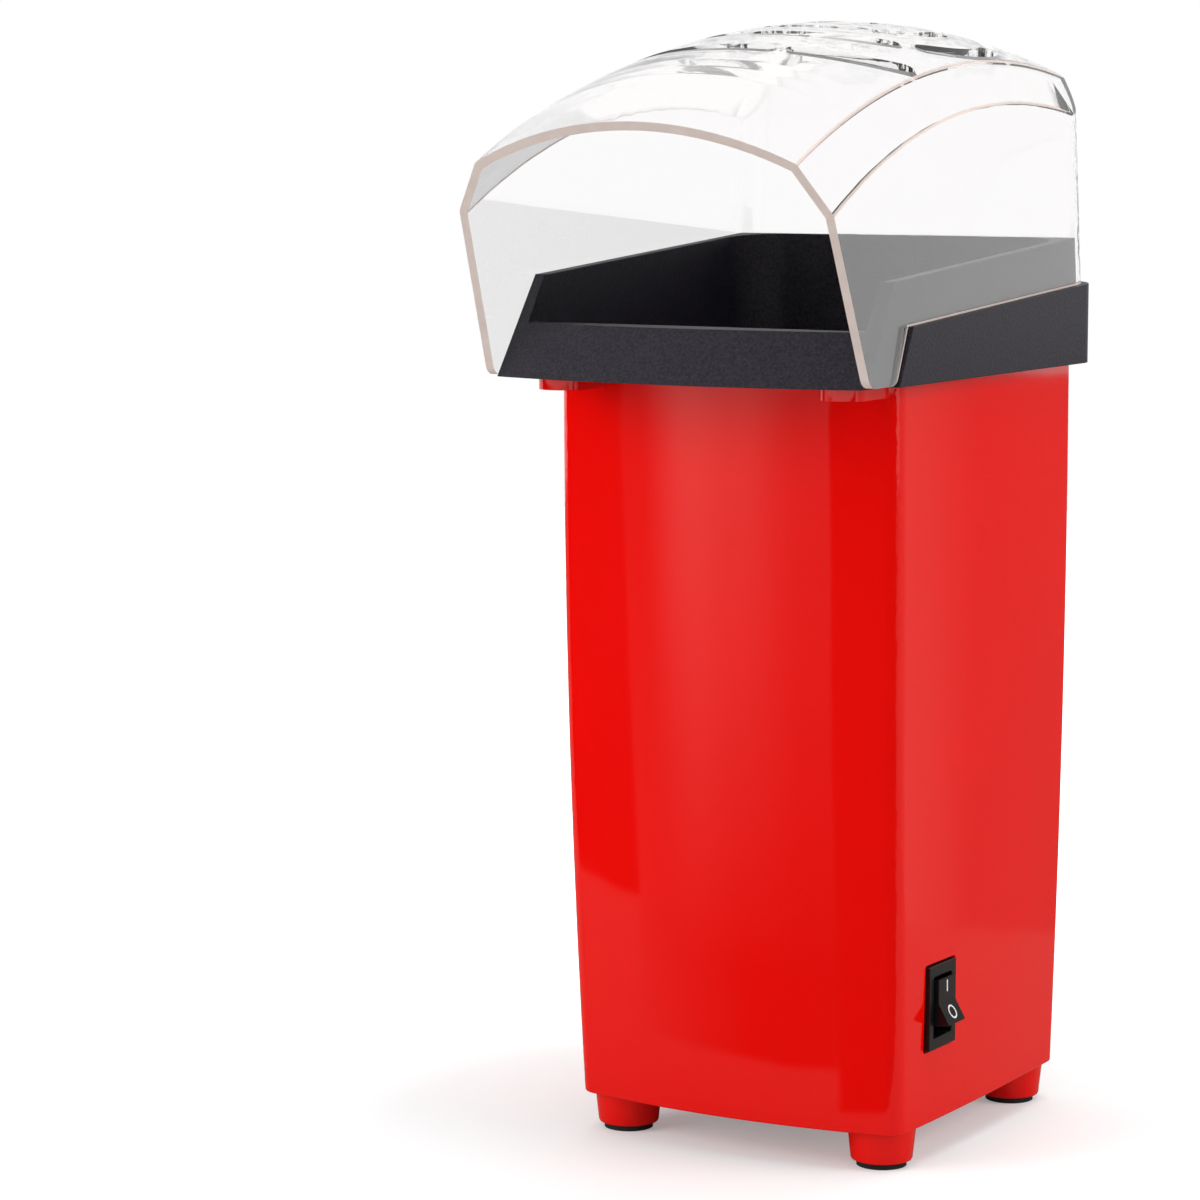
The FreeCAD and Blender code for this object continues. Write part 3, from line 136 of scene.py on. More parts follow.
def corners(bm):
    """The edges that bend enough to show as a corner of the moulding."""
    corner_bend = math.radians(28)
    return [e for e in bm.edges if len(e.link_faces) == 2 and e.calc_face_angle(0) > corner_bend]


def settle(bm, name, *materials):
    """Put a finished mesh into the scene as an object with its materials."""
    mesh = bpy.data.meshes.new(name)
    bm.to_mesh(mesh)
    bm.free()
    for material in materials:
        mesh.materials.append(material)
    thing = bpy.data.objects.new(name, mesh)
    bpy.context.collection.objects.link(thing)
    return thing


def finish_copy(bm, node_name, piece_name, body, slot, *materials, sharp=50):
    """Make the reworked copy of a CAD node a piece that stands for it, smooth up to an angle in degrees."""
    bm.normal_update()
    for face in bm.faces:
        face.smooth = True
    for edge in bm.edges:
        edge.smooth = edge.calc_face_angle(math.pi) < math.radians(sharp)
    piece = settle(bm, piece_name, *materials)
    even = piece.modifiers.new("even_faces", "WEIGHTED_NORMAL")
    even.mode = "FACE_AREA"
    even.weight = 90
    even.keep_sharp = True
    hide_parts(node_name)
    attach(piece, body)


# Glossy ABS: a deep even red under a tight clear sheen, with the faint waviness of a large moulding
red_abs = blank("Moulded red ABS")
place = add(red_abs, "TexCoord").outputs["Object"]
sink = add(red_abs, "TexNoise", {"Vector": place, "Scale": per_mm(38), "Detail": 2.0, "Roughness": 0.4})
fleck = add(red_abs, "TexNoise", {"Vector": place, "Scale": per_mm(0.9), "Detail": 2.0})
tone = add(red_abs, "ValToRGB", {"Fac": sink.outputs["Fac"]})
tone.color_ramp.elements[0].color = colour("#DC0502")
tone.color_ramp.elements[1].color = colour("#E40703")
polish = add(red_abs, "MapRange", {"Value": fleck.outputs["Fac"], "To Min": 0.06, "To Max": 0.12})
wave = add(red_abs, "Bump", {"Height": sink.outputs["Fac"], "Strength": 0.25, "Distance": 0.0004})
red_shader = add(red_abs, "BsdfPrincipled", {
    "Base Color": tone.outputs["Color"], "Roughness": polish.outputs["Result"], "IOR": 1.54,
    "Normal": wave.outputs["Normal"]})
add(red_abs, "OutputMaterial", {"Surface": red_shader.outputs["BSDF"]})

base_radius_mm = 0.5
base = merged_copy("base_cover")
round_off(base, corners(base), base_radius_mm)
finish_copy(base, "base_cover", "red_base", "housing", "red_plastic", red_abs)

# Foot pads: four round pads of moulded rubber, one glued under each stub foot so that the machine
# stands firm.


def dress(material, *node_names):
    """Give CAD nodes whose shape is right their material."""
    for name in node_names:
        for slot in frame["nodes"][name].material_slots:
            slot.material = material


# Moulded rubber: dull charcoal, with the dusty bloom and fine pits of a cured compound
rubber = blank("Moulded black rubber")
place = add(rubber, "TexCoord").outputs["Object"]
bloom = add(rubber, "TexNoise", {"Vector": place, "Scale": per_mm(2.5), "Detail": 4.0})
dust = add(rubber, "ValToRGB", {"Fac": bloom.outputs["Fac"]})
dust.color_ramp.elements[0].color = colour("#1B1B1C")
dust.color_ramp.elements[1].color = colour("#2C2B2A")
pits = add(rubber, "TexNoise", {"Vector": place, "Scale": per_mm(0.5), "Detail": 2.0})
grip = add(rubber, "Bump", {"Height": pits.outputs["Fac"], "Strength": 0.4, "Distance": 0.00006})
rubber_shader = add(rubber, "BsdfPrincipled", {
    "Base Color": dust.outputs["Color"], "Roughness": 0.78, "IOR": 1.52, "Normal": grip.outputs["Normal"]})
add(rubber, "OutputMaterial", {"Surface": rubber_shader.outputs["BSDF"]})

dress(rubber, "foot_pads")

# Screws, shaft and clip: small steel parts, cold headed, turned or stamped and then zinc plated. The
# screws hold the mouldings together, and the clip is pushed on the shaft above the impeller.

# Zinc plate: bright bluish grey metal with a slightly patchy passivated haze
zinc_steel = blank("Zinc plated steel")
place = add(zinc_steel, "TexCoord").outputs["Object"]
haze = add(zinc_steel, "TexNoise", {"Vector": place, "Scale": per_mm(1.2), "Detail": 3.0})
plate = add(zinc_steel, "ValToRGB", {"Fac": haze.outputs["Fac"]})
plate.color_ramp.elements[0].color = colour("#A9ADB2")
plate.color_ramp.elements[1].color = colour("#C4C6C8")
worn = add(zinc_steel, "MapRange", {"Value": haze.outputs["Fac"], "To Min": 0.22, "To Max": 0.4})
zinc_shader = add(zinc_steel, "BsdfPrincipled", {
    "Base Color": plate.outputs["Color"], "Metallic": 1.0, "Roughness": worn.outputs["Result"]})
add(zinc_steel, "OutputMaterial", {"Surface": zinc_shader.outputs["BSDF"]})

dress(zinc_steel, "base_screws", "motor_screws", "housing_screws", "chamber_screws", "collar_screws",
      "motor_shaft", "fan_clip")

# Motor: a deep drawn can with two ferrite magnets and a wound armature in sintered bronze bushes,
# closed by a moulded end cap that carries the rectifier board on two brass tabs.

# Tin plated sheet: soft silvery metal with faint drawing lines round the can and along the sleeve
tin_plate = blank("Tin plated sheet steel")
place = add(tin_plate, "TexCoord").outputs["Object"]
stretch = add(tin_plate, "Mapping", {"Vector": place, "Scale": (0.15, 0.15, 1.0)})
drawn = add(tin_plate, "TexNoise", {"Vector": stretch.outputs["Vector"], "Scale": per_mm(1.0),
                                    "Detail": 3.0})
sheet = add(tin_plate, "ValToRGB", {"Fac": drawn.outputs["Fac"]})
sheet.color_ramp.elements[0].color = colour("#B3B2AE")
sheet.color_ramp.elements[1].color = colour("#CFCEC9")
lines = add(tin_plate, "MapRange", {"Value": drawn.outputs["Fac"], "To Min": 0.25, "To Max": 0.42})
tin_shader = add(tin_plate, "BsdfPrincipled", {
    "Base Color": sheet.outputs["Color"], "Metallic": 1.0, "Roughness": lines.outputs["Result"]})
add(tin_plate, "OutputMaterial", {"Surface": tin_shader.outputs["BSDF"]})

# Brass: warm yellow stamped strip, a little tarnished in patches
brass = blank("Stamped brass strip")
place = add(brass, "TexCoord").outputs["Object"]
tarnish = add(brass, "TexNoise", {"Vector": place, "Scale": per_mm(2), "Detail": 3.0})
strip = add(brass, "ValToRGB", {"Fac": tarnish.outputs["Fac"]})
strip.color_ramp.elements[0].color = colour("#A98A45")
strip.color_ramp.elements[1].color = colour("#CDB067")
brass_shader = add(brass, "BsdfPrincipled", {
    "Base Color": strip.outputs["Color"], "Metallic": 1.0, "Roughness": 0.32})
add(brass, "OutputMaterial", {"Surface": brass_shader.outputs["BSDF"]})

# Sintered bronze: brown, porous and oily, so its sheen breaks up in fine dots
bronze = blank("Sintered bronze")
place = add(bronze, "TexCoord").outputs["Object"]
pores = add(bronze, "TexNoise", {"Vector": place, "Scale": per_mm(0.4), "Detail": 2.0})
grains = add(bronze, "ValToRGB", {"Fac": pores.outputs["Fac"]})
grains.color_ramp.elements[0].color = colour("#6E4A2A")
grains.color_ramp.elements[1].color = colour("#A87743")
bronze_shader = add(bronze, "BsdfPrincipled", {
    "Base Color": grains.outputs["Color"], "Metallic": 1.0, "Roughness": 0.45})
add(bronze, "OutputMaterial", {"Surface": bronze_shader.outputs["BSDF"]})

# Ferrite: pressed ceramic, dark grey and chalky with a slight sparkle
ferrite = blank("Pressed ferrite")
place = add(ferrite, "TexCoord").outputs["Object"]
chalk = add(ferrite, "TexNoise", {"Vector": place, "Scale": per_mm(0.6), "Detail": 3.0})
press = add(ferrite, "ValToRGB", {"Fac": chalk.outputs["Fac"]})
press.color_ramp.elements[0].color = colour("#2B2B2D")
press.color_ramp.elements[1].color = colour("#434346")
ferrite_shader = add(ferrite, "BsdfPrincipled", {"Base Color": press.outputs["Color"], "Roughness": 0.62})
add(ferrite, "OutputMaterial", {"Surface": ferrite_shader.outputs["BSDF"]})

# Armature iron: stacked thin sheets round the shaft, seen as level lines. The wave has three lines in
# its 10 mm scale, which is coarser than the real sheets so that they show.
armature_iron = blank("Stacked armature iron")
place = add(armature_iron, "TexCoord").outputs["Object"]
stack = add(armature_iron, "TexWave", {"Vector": place, "Scale": per_mm(10), "Distortion": 0.4},
            bands_direction="Z")
layers = add(armature_iron, "ValToRGB", {"Fac": stack.outputs["Fac"]})
layers.color_ramp.elements[0].color = colour("#5C5350")
layers.color_ramp.elements[1].color = colour("#8E8783")
iron_shader = add(armature_iron, "BsdfPrincipled", {
    "Base Color": layers.outputs["Color"], "Metallic": 0.9, "Roughness": 0.4})
add(armature_iron, "OutputMaterial", {"Surface": iron_shader.outputs["BSDF"]})

# Board laminate: phenolic paper, tan with faint fibres
laminate = blank("Phenolic paper board")
place = add(laminate, "TexCoord").outputs["Object"]
fibre = add(laminate, "TexNoise", {"Vector": place, "Scale": per_mm(1.5), "Detail": 5.0, "Roughness": 0.7})
paper = add(laminate, "ValToRGB", {"Fac": fibre.outputs["Fac"]})
paper.color_ramp.elements[0].color = colour("#8A6234")
paper.color_ramp.elements[1].color = colour("#A97F4B")
laminate_shader = add(laminate, "BsdfPrincipled", {"Base Color": paper.outputs["Color"], "Roughness": 0.42})
add(laminate, "OutputMaterial", {"Surface": laminate_shader.outputs["BSDF"]})

# Satin black thermoplastic: nearly black, with the soft sheen of a lightly blasted mould
satin_black = blank("Satin black thermoplastic")
place = add(satin_black, "TexCoord").outputs["Object"]
blast = add(satin_black, "TexNoise", {"Vector": place, "Scale": per_mm(0.35), "Detail": 2.0})
shade = add(satin_black, "ValToRGB", {"Fac": blast.outputs["Fac"]})
shade.color_ramp.elements[0].color = colour("#0E0E0F")
shade.color_ramp.elements[1].color = colour("#161617")
satin = add(satin_black, "MapRange", {"Value": blast.outputs["Fac"], "To Min": 0.3, "To Max": 0.42})
frost = add(satin_black, "Bump", {"Height": blast.outputs["Fac"], "Strength": 0.2, "Distance": 0.00003})
satin_shader = add(satin_black, "BsdfPrincipled", {
    "Base Color": shade.outputs["Color"], "Roughness": satin.outputs["Result"], "IOR": 1.5,
    "Normal": frost.outputs["Normal"]})
add(satin_black, "OutputMaterial", {"Surface": satin_shader.outputs["BSDF"]})

dress(tin_plate, "motor_can")
dress(bronze, "motor_bushes")
dress(ferrite, "motor_magnets")
dress(armature_iron, "motor_armature")
dress(brass, "motor_terminals")
dress(laminate, "rectifier_board")
dress(satin_black, "rectifier_diodes", "motor_end_cap")

# Fan: a heat proof cup moulded in phenolic, screwed on the posts of the base cover, and in it a nylon
# impeller with seven pitched blades, pressed on the motor's shaft.

# Glass filled phenolic: dark brown black, with short pale fibres just under the skin
phenolic = blank("Glass filled phenolic")
place = add(phenolic, "TexCoord").outputs["Object"]
fibres = add(phenolic, "TexNoise", {"Vector": place, "Scale": per_mm(0.8), "Detail": 4.0, "Roughness": 0.7})
resin = add(phenolic, "ValToRGB", {"Fac": fibres.outputs["Fac"]})
resin.color_ramp.elements[0].color = colour("#211C19")
resin.color_ramp.elements[1].color = colour("#3A332E")
phenolic_shader = add(phenolic, "BsdfPrincipled", {"Base Color": resin.outputs["Color"], "Roughness": 0.5})
add(phenolic, "OutputMaterial", {"Surface": phenolic_shader.outputs["BSDF"]})

# Natural nylon: milky off white, slightly waxy
nylon = blank("Natural nylon")
place = add(nylon, "TexCoord").outputs["Object"]
milk = add(nylon, "TexNoise", {"Vector": place, "Scale": per_mm(6), "Detail": 2.0})
wax = add(nylon, "ValToRGB", {"Fac": milk.outputs["Fac"]})
wax.color_ramp.elements[0].color = colour("#D5CFBF")
wax.color_ramp.elements[1].color = colour("#E4DFD1")
nylon_shader = add(nylon, "BsdfPrincipled", {
    "Base Color": wax.outputs["Color"], "Roughness": 0.38, "IOR": 1.53, "Subsurface Weight": 0.15,
    "Subsurface Radius": (0.002, 0.0018, 0.0015)})
add(nylon, "OutputMaterial", {"Surface": nylon_shader.outputs["BSDF"]})

dress(phenolic, "fan_housing")
dress(nylon, "fan_impeller")

# Heater: two slotted mica plates with a resistance wire round them, in a sheet metal sleeve that
# carries the thermostat.

# Mica: brittle amber sheets with pearly flakes a few millimetres wide
mica = blank("Bonded mica sheet")
place = add(mica, "TexCoord").outputs["Object"]
flakes = add(mica, "TexVoronoi", {"Vector": place, "Scale": per_mm(3)})
pearl = add(mica, "ValToRGB", {"Fac": flakes.outputs["Distance"]})
pearl.color_ramp.elements[0].color = colour("#B79A68")
pearl.color_ramp.elements[1].color = colour("#8E7247")
mica_shader = add(mica, "BsdfPrincipled", {
    "Base Color": pearl.outputs["Color"], "Roughness": 0.3, "IOR": 1.58})
add(mica, "OutputMaterial", {"Surface": mica_shader.outputs["BSDF"]})

# Heater wire: iron chromium alloy with the dull grey oxide that the first heating leaves
oxide_wire = blank("Oxidised heater wire")
place = add(oxide_wire, "TexCoord").outputs["Object"]
scorch = add(oxide_wire, "TexNoise", {"Vector": place, "Scale": per_mm(4), "Detail": 3.0})
oxide = add(oxide_wire, "ValToRGB", {"Fac": scorch.outputs["Fac"]})
oxide.color_ramp.elements[0].color = colour("#4A4744")
oxide.color_ramp.elements[1].color = colour("#6F6A66")
wire_shader = add(oxide_wire, "BsdfPrincipled", {
    "Base Color": oxide.outputs["Color"], "Metallic": 0.85, "Roughness": 0.55})
add(oxide_wire, "OutputMaterial", {"Surface": wire_shader.outputs["BSDF"]})

dress(mica, "mica_plate_upper", "mica_plate_lower")
dress(oxide_wire, "heater_coil")
dress(tin_plate, "hot_air_sleeve", "thermostat")

# Popping chamber: a cup drawn from aluminium sheet, with slanted louvres that swirl the hot air,
# hung from the collar by four ears.

# Drawn aluminium: pale and satin, with fine rings round the cup from the drawing tool
aluminium = blank("Drawn aluminium sheet")
place = add(aluminium, "TexCoord").outputs["Object"]
flow = add(aluminium, "Mapping", {"Vector": place, "Scale": (0.08, 0.08, 1.0)})
rings = add(aluminium, "TexNoise", {"Vector": flow.outputs["Vector"], "Scale": per_mm(0.9), "Detail": 4.0})
skin = add(aluminium, "ValToRGB", {"Fac": rings.outputs["Fac"]})
skin.color_ramp.elements[0].color = colour("#C3C3C2")
skin.color_ramp.elements[1].color = colour("#DADAD8")
brush = add(aluminium, "MapRange", {"Value": rings.outputs["Fac"], "To Min": 0.28, "To Max": 0.42})
scuff = add(aluminium, "Bump", {"Height": rings.outputs["Fac"], "Strength": 0.15, "Distance": 0.00004})
aluminium_shader = add(aluminium, "BsdfPrincipled", {
    "Base Color": skin.outputs["Color"], "Metallic": 1.0, "Roughness": brush.outputs["Result"],
    "Normal": scuff.outputs["Normal"]})
add(aluminium, "OutputMaterial", {"Surface": aluminium_shader.outputs["BSDF"]})

dress(aluminium, "popping_chamber")

# Body shell: the tall red tube, moulded in the same glossy ABS, with two round lugs under its front
# for the collar screws.

heel_radius_mm, shell_radius_mm = 1.6, 0.4
shell = merged_copy("body_shell")
axis = (cad_box[0] + cad_box[1]) / 2
heel_z = min(v.co.z for v in shell.verts) + 1e-5


def outer_wall(face):
    """Whether a face stands upright and looks away from the middle of the machine."""
    return abs(face.normal.z) < 0.5 and face.normal.xy.dot((face.calc_center_median() - axis).xy) > 0


heel = [e for e in shell.edges if max(v.co.z for v in e.verts) < heel_z
        and any(outer_wall(f) for f in e.link_faces)]
round_off(shell, heel, heel_radius_mm, segments=4)
round_off(shell, corners(shell), shell_radius_mm)
finish_copy(shell, "body_shell", "red_body", "housing", "red_plastic", red_abs)

# Rocker switch: a black snap-in frame in the right wall and a rocker on two stub pins, with the
# usual bar and ring printed in white.

switch_radius_mm = 0.3
for node_name, piece_name, body in (("switch_frame", "switch_bezel", "housing"),
                                    ("switch_rocker", "switch_rocker_cap", "rocker")):
    moulding = merged_copy(node_name)
    round_off(moulding, corners(moulding), switch_radius_mm)
    finish_copy(moulding, node_name, piece_name, body, "switch_plastic", satin_black)
dress(brass, "switch_terminals")

# White pad print: flat, slightly uneven ink on the satin plastic
white_ink = blank("White pad print ink")
place = add(white_ink, "TexCoord").outputs["Object"]
coat = add(white_ink, "TexNoise", {"Vector": place, "Scale": per_mm(0.6), "Detail": 2.0})
ink = add(white_ink, "ValToRGB", {"Fac": coat.outputs["Fac"]})
ink.color_ramp.elements[0].color = colour("#D4D3D0")
ink.color_ramp.elements[1].color = colour("#EDECE8")
ink_shader = add(white_ink, "BsdfPrincipled", {"Base Color": ink.outputs["Color"], "Roughness": 0.55})
add(white_ink, "OutputMaterial", {"Surface": ink_shader.outputs["BSDF"]})

mark_film = 0.00006
bar_width, bar_length, bar_rise = 0.0005, 0.0029, 0.0008
ring_radii = (0.00135, 0.0018)
rocker_joint = next(j for j in frame["record"]["behaviour"]["joints"] if j["name"] == "rocker_tilt")
rocker_rest = math.radians(15)
rocker_mid, rocker_end, rocker_half = 0.0047, 0.0062, 0.00579
rocker_slope = math.atan2(rocker_end - rocker_mid, rocker_half)
face_out, face_up = (rocker_mid + rocker_end) / 2, rocker_half / 2


def mark_place(up):
    """Where a mark lies on the upper (1) or lower (-1) half of the tilted rocker."""
    return (Matrix.Translation(rocker_joint["pos_m"]) @ Matrix.Rotation(-rocker_rest, 4, "Y")
            @ Matrix.Translation((face_out, 0, up * face_up)) @ Matrix.Rotation(up * rocker_slope, 4, "Y"))


def turn(bm, degrees, axis_name):
    """Turn a whole mesh about an axis through the origin."""
    bmesh.ops.rotate(bm, cent=(0, 0, 0), verts=bm.verts,
                     matrix=Matrix.Rotation(math.radians(degrees), 3, axis_name))


def print_mark(bm, name, up):
    """Turn a flat outline in the YZ plane into a thin print on the rocker."""
    raised = bmesh.ops.extrude_face_region(bm, geom=bm.faces[:])["geom"]
    film = [v for v in raised if isinstance(v, bmesh.types.BMVert)]
    bmesh.ops.translate(bm, vec=(mark_film, 0, 0), verts=film)
    bmesh.ops.recalc_face_normals(bm, faces=bm.faces)
    bmesh.ops.transform(bm, matrix=mark_place(up), verts=bm.verts)
    piece = settle(bm, name, white_ink)
    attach(piece, "rocker")


bar = bmesh.new()
bmesh.ops.create_grid(bar, x_segments=1, y_segments=1, size=0.5)
bmesh.ops.scale(bar, vec=(bar_length, bar_width, 1), verts=bar.verts)
turn(bar, 90, "Y")
bmesh.ops.translate(bar, vec=(0, 0, bar_rise), verts=bar.verts)
print_mark(bar, "mark_on", 1)

ring = bmesh.new()
for radius in ring_radii:
    bmesh.ops.create_circle(ring, segments=32, radius=radius)
bmesh.ops.bridge_loops(ring, edges=ring.edges)
turn(ring, 90, "Y")
print_mark(ring, "mark_off", -1)

# Cord bush: a grooved ring of moulded rubber, snapped into a round hole in the back wall as the inlet
# for the mains lead.

bush_radius_mm = 0.4
bush = merged_copy("cord_bush")
round_off(bush, corners(bush), bush_radius_mm)
finish_copy(bush, "cord_bush", "bush_ring", "housing", "rubber", rubber)

# Collar: the black spout part on top of the body, moulded with a fine spark eroded texture, with the
# ledge and the raised wall that hold the clear cover.

# Textured black plastic: dark bluish grey and matt, with an even fine grain that catches the light. The
# grain is drawn coarser than the real one so that it shows.
grained_black = blank("Spark grained black plastic")
place = add(grained_black, "TexCoord").outputs["Object"]
grain = add(grained_black, "TexNoise", {"Vector": place, "Scale": per_mm(0.7), "Detail": 3.0,
                                        "Roughness": 0.6})
fleck = add(grained_black, "ValToRGB", {"Fac": grain.outputs["Fac"]})
fleck.color_ramp.elements[0].position = 0.36
fleck.color_ramp.elements[0].color = colour("#100D14")
fleck.color_ramp.elements[1].position = 0.7
fleck.color_ramp.elements[1].color = colour("#2F2B35")
matt = add(grained_black, "MapRange", {"Value": grain.outputs["Fac"], "To Min": 0.42, "To Max": 0.62})
spark = add(grained_black, "Bump", {"Height": grain.outputs["Fac"], "Strength": 0.8, "Distance": 0.0001})
grained_shader = add(grained_black, "BsdfPrincipled", {
    "Base Color": fleck.outputs["Color"], "Roughness": matt.outputs["Result"], "IOR": 1.5,
    "Specular IOR Level": 0.3, "Normal": spark.outputs["Normal"]})
add(grained_black, "OutputMaterial", {"Surface": grained_shader.outputs["BSDF"]})

collar_radius_mm = 0.6
spout = merged_copy("collar")
round_off(spout, corners(spout), collar_radius_mm)
finish_copy(spout, "collar", "black_collar", "housing", "black_plastic", grained_black)

# Clear cover: a thin see-through hood that rests loose on the ledge of the collar, moulded with arc
# shaped vents in its arched top.

# Clear polycarbonate: colourless, with a trace of warm grey in its thickness and a light polish haze
clear_plastic = blank("Clear polycarbonate")
place = add(clear_plastic, "TexCoord").outputs["Object"]
ripple = add(clear_plastic, "TexNoise", {"Vector": place, "Scale": per_mm(30), "Detail": 2.0})
mist = add(clear_plastic, "MapRange", {"Value": ripple.outputs["Fac"], "To Min": 0.0, "To Max": 0.03})
draw = add(clear_plastic, "Bump", {"Height": ripple.outputs["Fac"], "Strength": 0.1, "Distance": 0.0003})
clear_shader = add(clear_plastic, "BsdfPrincipled", {
    "Base Color": colour("#FFFEFE"), "Roughness": mist.outputs["Result"], "IOR": 1.58,
    "Transmission Weight": 0.98, "Normal": draw.outputs["Normal"]})
add(clear_plastic, "OutputMaterial", {"Surface": clear_shader.outputs["BSDF"]})

# Edge of the same plastic, partly see-through and painted a pale pinkish colour: a painted glow for the
# light that the creases, the front rim, the foot and the wall hems catch and carry from the red body
edge_glow = blank("Clear polycarbonate painted edge glow")
place = add(edge_glow, "TexCoord").outputs["Object"]
glow_variation = add(edge_glow, "TexNoise", {"Vector": place, "Scale": per_mm(4), "Detail": 3.0})
painted_glow = add(edge_glow, "ValToRGB", {"Fac": glow_variation.outputs["Fac"]})
painted_glow.color_ramp.elements[0].color = colour("#E6CCC2")
painted_glow.color_ramp.elements[1].color = colour("#F6E6DE")
edge_shader = add(edge_glow, "BsdfPrincipled", {
    "Base Color": painted_glow.outputs["Color"], "Roughness": 0.3, "IOR": 1.58, "Transmission Weight": 0.4})
add(edge_glow, "OutputMaterial", {"Surface": edge_shader.outputs["BSDF"]})

# Two rounded creases run from front to back on each side of the arched top
crease_radius_mm, crease_run = 0.45, 0.1
crease_least, crease_most = math.radians(24), math.radians(45)
upper_crease_x, back_corner = 0.045, 0.015
hood = merged_copy("clear_cover")
hood_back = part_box("clear_cover")[1].y - back_corner
bends = [e for e in hood.edges if e.is_convex and crease_least < e.calc_face_angle(0) < crease_most
         and (abs(e.verts[0].co.x) < upper_crease_x or max(v.co.y for v in e.verts) < hood_back)]
creases = [e for run in runs(bends) if sum(e.calc_length() for e in run) > crease_run for e in run]
# The rounded creases get the painted edge glow
glow_faces = set(round_off(hood, creases, crease_radius_mm))

# Light that runs inside a side wall leaves at its lower edge: a strip of the skin there is cut free to take
# that light as the painted edge glow
hem_width, hem_run = 0.0005, 0.01
wall_x, wall_low = 0.04, 0.225
lower_edges = [e for e in hood.edges if e.is_convex and e.calc_length() > hem_run
               and min(v.co.x for v in e.verts) > wall_x and max(v.co.z for v in e.verts) < wall_low
               and any(f.normal.x > 0.9 for f in e.link_faces)
               and any(f.normal.x < 0.5 and f.normal.y > 0.03 for f in e.link_faces)]
cuts = []
for edge in sorted(lower_edges, key=lambda e: -e.calc_length()):
    under = min(edge.link_faces, key=lambda f: abs(f.normal.x)).normal.copy()
    cuts.append((edge.verts[0].co - under * hem_width, under))


def in_hem(face, planes):
    """Whether a face lies on the outer skin of a side wall and beyond every one of the planes."""
    middle = face.calc_center_median()
    skin = abs(face.normal.x) > 0.9 and face.normal.x * middle.x > 0
    return skin and all((middle - point).dot(under) > 0 for point, under in planes)


for number, (point, under) in enumerate(cuts):
    strip = [f for f in hood.faces if in_hem(f, cuts[:number])]
    bounds = list(dict.fromkeys(e for f in strip for e in f.edges))
    ends = list(dict.fromkeys(v for f in strip for v in f.verts))
    bmesh.ops.bisect_plane(hood, geom=strip + bounds + ends, dist=1e-6, plane_co=point, plane_no=under)

# The bare edges of the walls, at the front rim and along the foot, get the painted edge glow too, as do the
# rounded creases and the hem strips
rim_top, foot_top = 0.262, 0.22
for face in hood.faces:
    across, along, up = face.normal
    middle = face.calc_center_median()
    rim = abs(along) > 0.55 and abs(across) < 0.5 and middle.y < hood_back and middle.z < rim_top
    foot = up < -0.8 and middle.z < foot_top
    face.material_index = int(rim or foot or face in glow_faces or in_hem(face, cuts))
finish_copy(hood, "clear_cover", "clear_hood", "cover", "clear_plastic", clear_plastic, edge_glow, sharp=20)

# Studio: a pale table top in white surroundings, lit by three soft lamps, with a few cards round the
# machine that only reflections see.

# Table top: matt white laminate that keeps the soft shadow round the feet and, further out, reads as the
# same white as the surroundings.
# Its colour is tinted a little blue-green to cancel the pink light that the red body throws on it. To the
# eye and
# through the cover the table also glows: a painted light that is weak near the machine and grows outwards,
# so the shadow shows only round the feet
table_white = blank("Matt white table top with painted glow")
place = add(table_white, "TexCoord").outputs["Object"]
mottle = add(table_white, "TexNoise", {"Vector": place, "Scale": per_mm(60), "Detail": 2.0})
pale = add(table_white, "ValToRGB", {"Fac": mottle.outputs["Fac"]})
pale.color_ramp.elements[0].color = colour("#DDE5E5")
pale.color_ramp.elements[1].color = colour("#E1E9E9")
path = add(table_white, "LightPath")
seen = add(table_white, "Math", {0: path.outputs["Is Camera Ray"], 1: path.outputs["Is Transmission Ray"]},
           operation="MAXIMUM")
reach = add(table_white, "VectorMath", {0: place}, operation="LENGTH").outputs["Value"]
shadow_reach, white_reach = 0.1, 0.35
lift = add(table_white, "MapRange", {"Value": reach, "From Min": shadow_reach, "From Max": white_reach,
                                     "To Min": 0.26, "To Max": 1.0})
glow = add(table_white, "Math", {0: seen.outputs["Value"], 1: lift.outputs["Result"]}, operation="MULTIPLY")
# In reflections the table turns a darker grey, a painted shade in what the body reflects of it
dim = add(table_white, "Mix", {"Factor": path.outputs["Is Glossy Ray"], "A": pale.outputs["Color"],
                               "B": colour("#8A857D")}, data_type="RGBA")
table_shader = add(table_white, "BsdfPrincipled", {
    "Base Color": dim.outputs["Result"], "Roughness": 0.7, "Specular IOR Level": 0.1,
    "Emission Color": (1.0, 1.0, 1.0, 1.0), "Emission Strength": glow.outputs["Value"]})
add(table_white, "OutputMaterial", {"Surface": table_shader.outputs["BSDF"]})

table_radius = 1.6
table = bmesh.new()
bmesh.ops.create_circle(table, cap_ends=True, segments=96, radius=table_radius)
table_top = settle(table, "table_top", table_white)

# White surroundings: full white to the eye, to gloss and through the clear cover, dimmer as a light
world = bpy.data.worlds.new("White studio")
bpy.context.scene.world = world
world.use_nodes = True
world.node_tree.nodes.clear()
path = add(world, "LightPath")
direct = add(world, "Math", {0: path.outputs["Is Camera Ray"], 1: path.outputs["Is Glossy Ray"]},
             operation="MAXIMUM")
seen = add(world, "Math", {0: direct.outputs["Value"], 1: path.outputs["Is Transmission Ray"]},
           operation="MAXIMUM")
level = add(world, "MapRange", {"Value": seen.outputs["Value"], "To Min": 0.5, "To Max": 1.0})
sky = add(world, "Background", {"Color": (1.0, 1.0, 1.0, 1.0), "Strength": level.outputs["Result"]})
add(world, "OutputWorld", {"Surface": sky.outputs["Background"]})

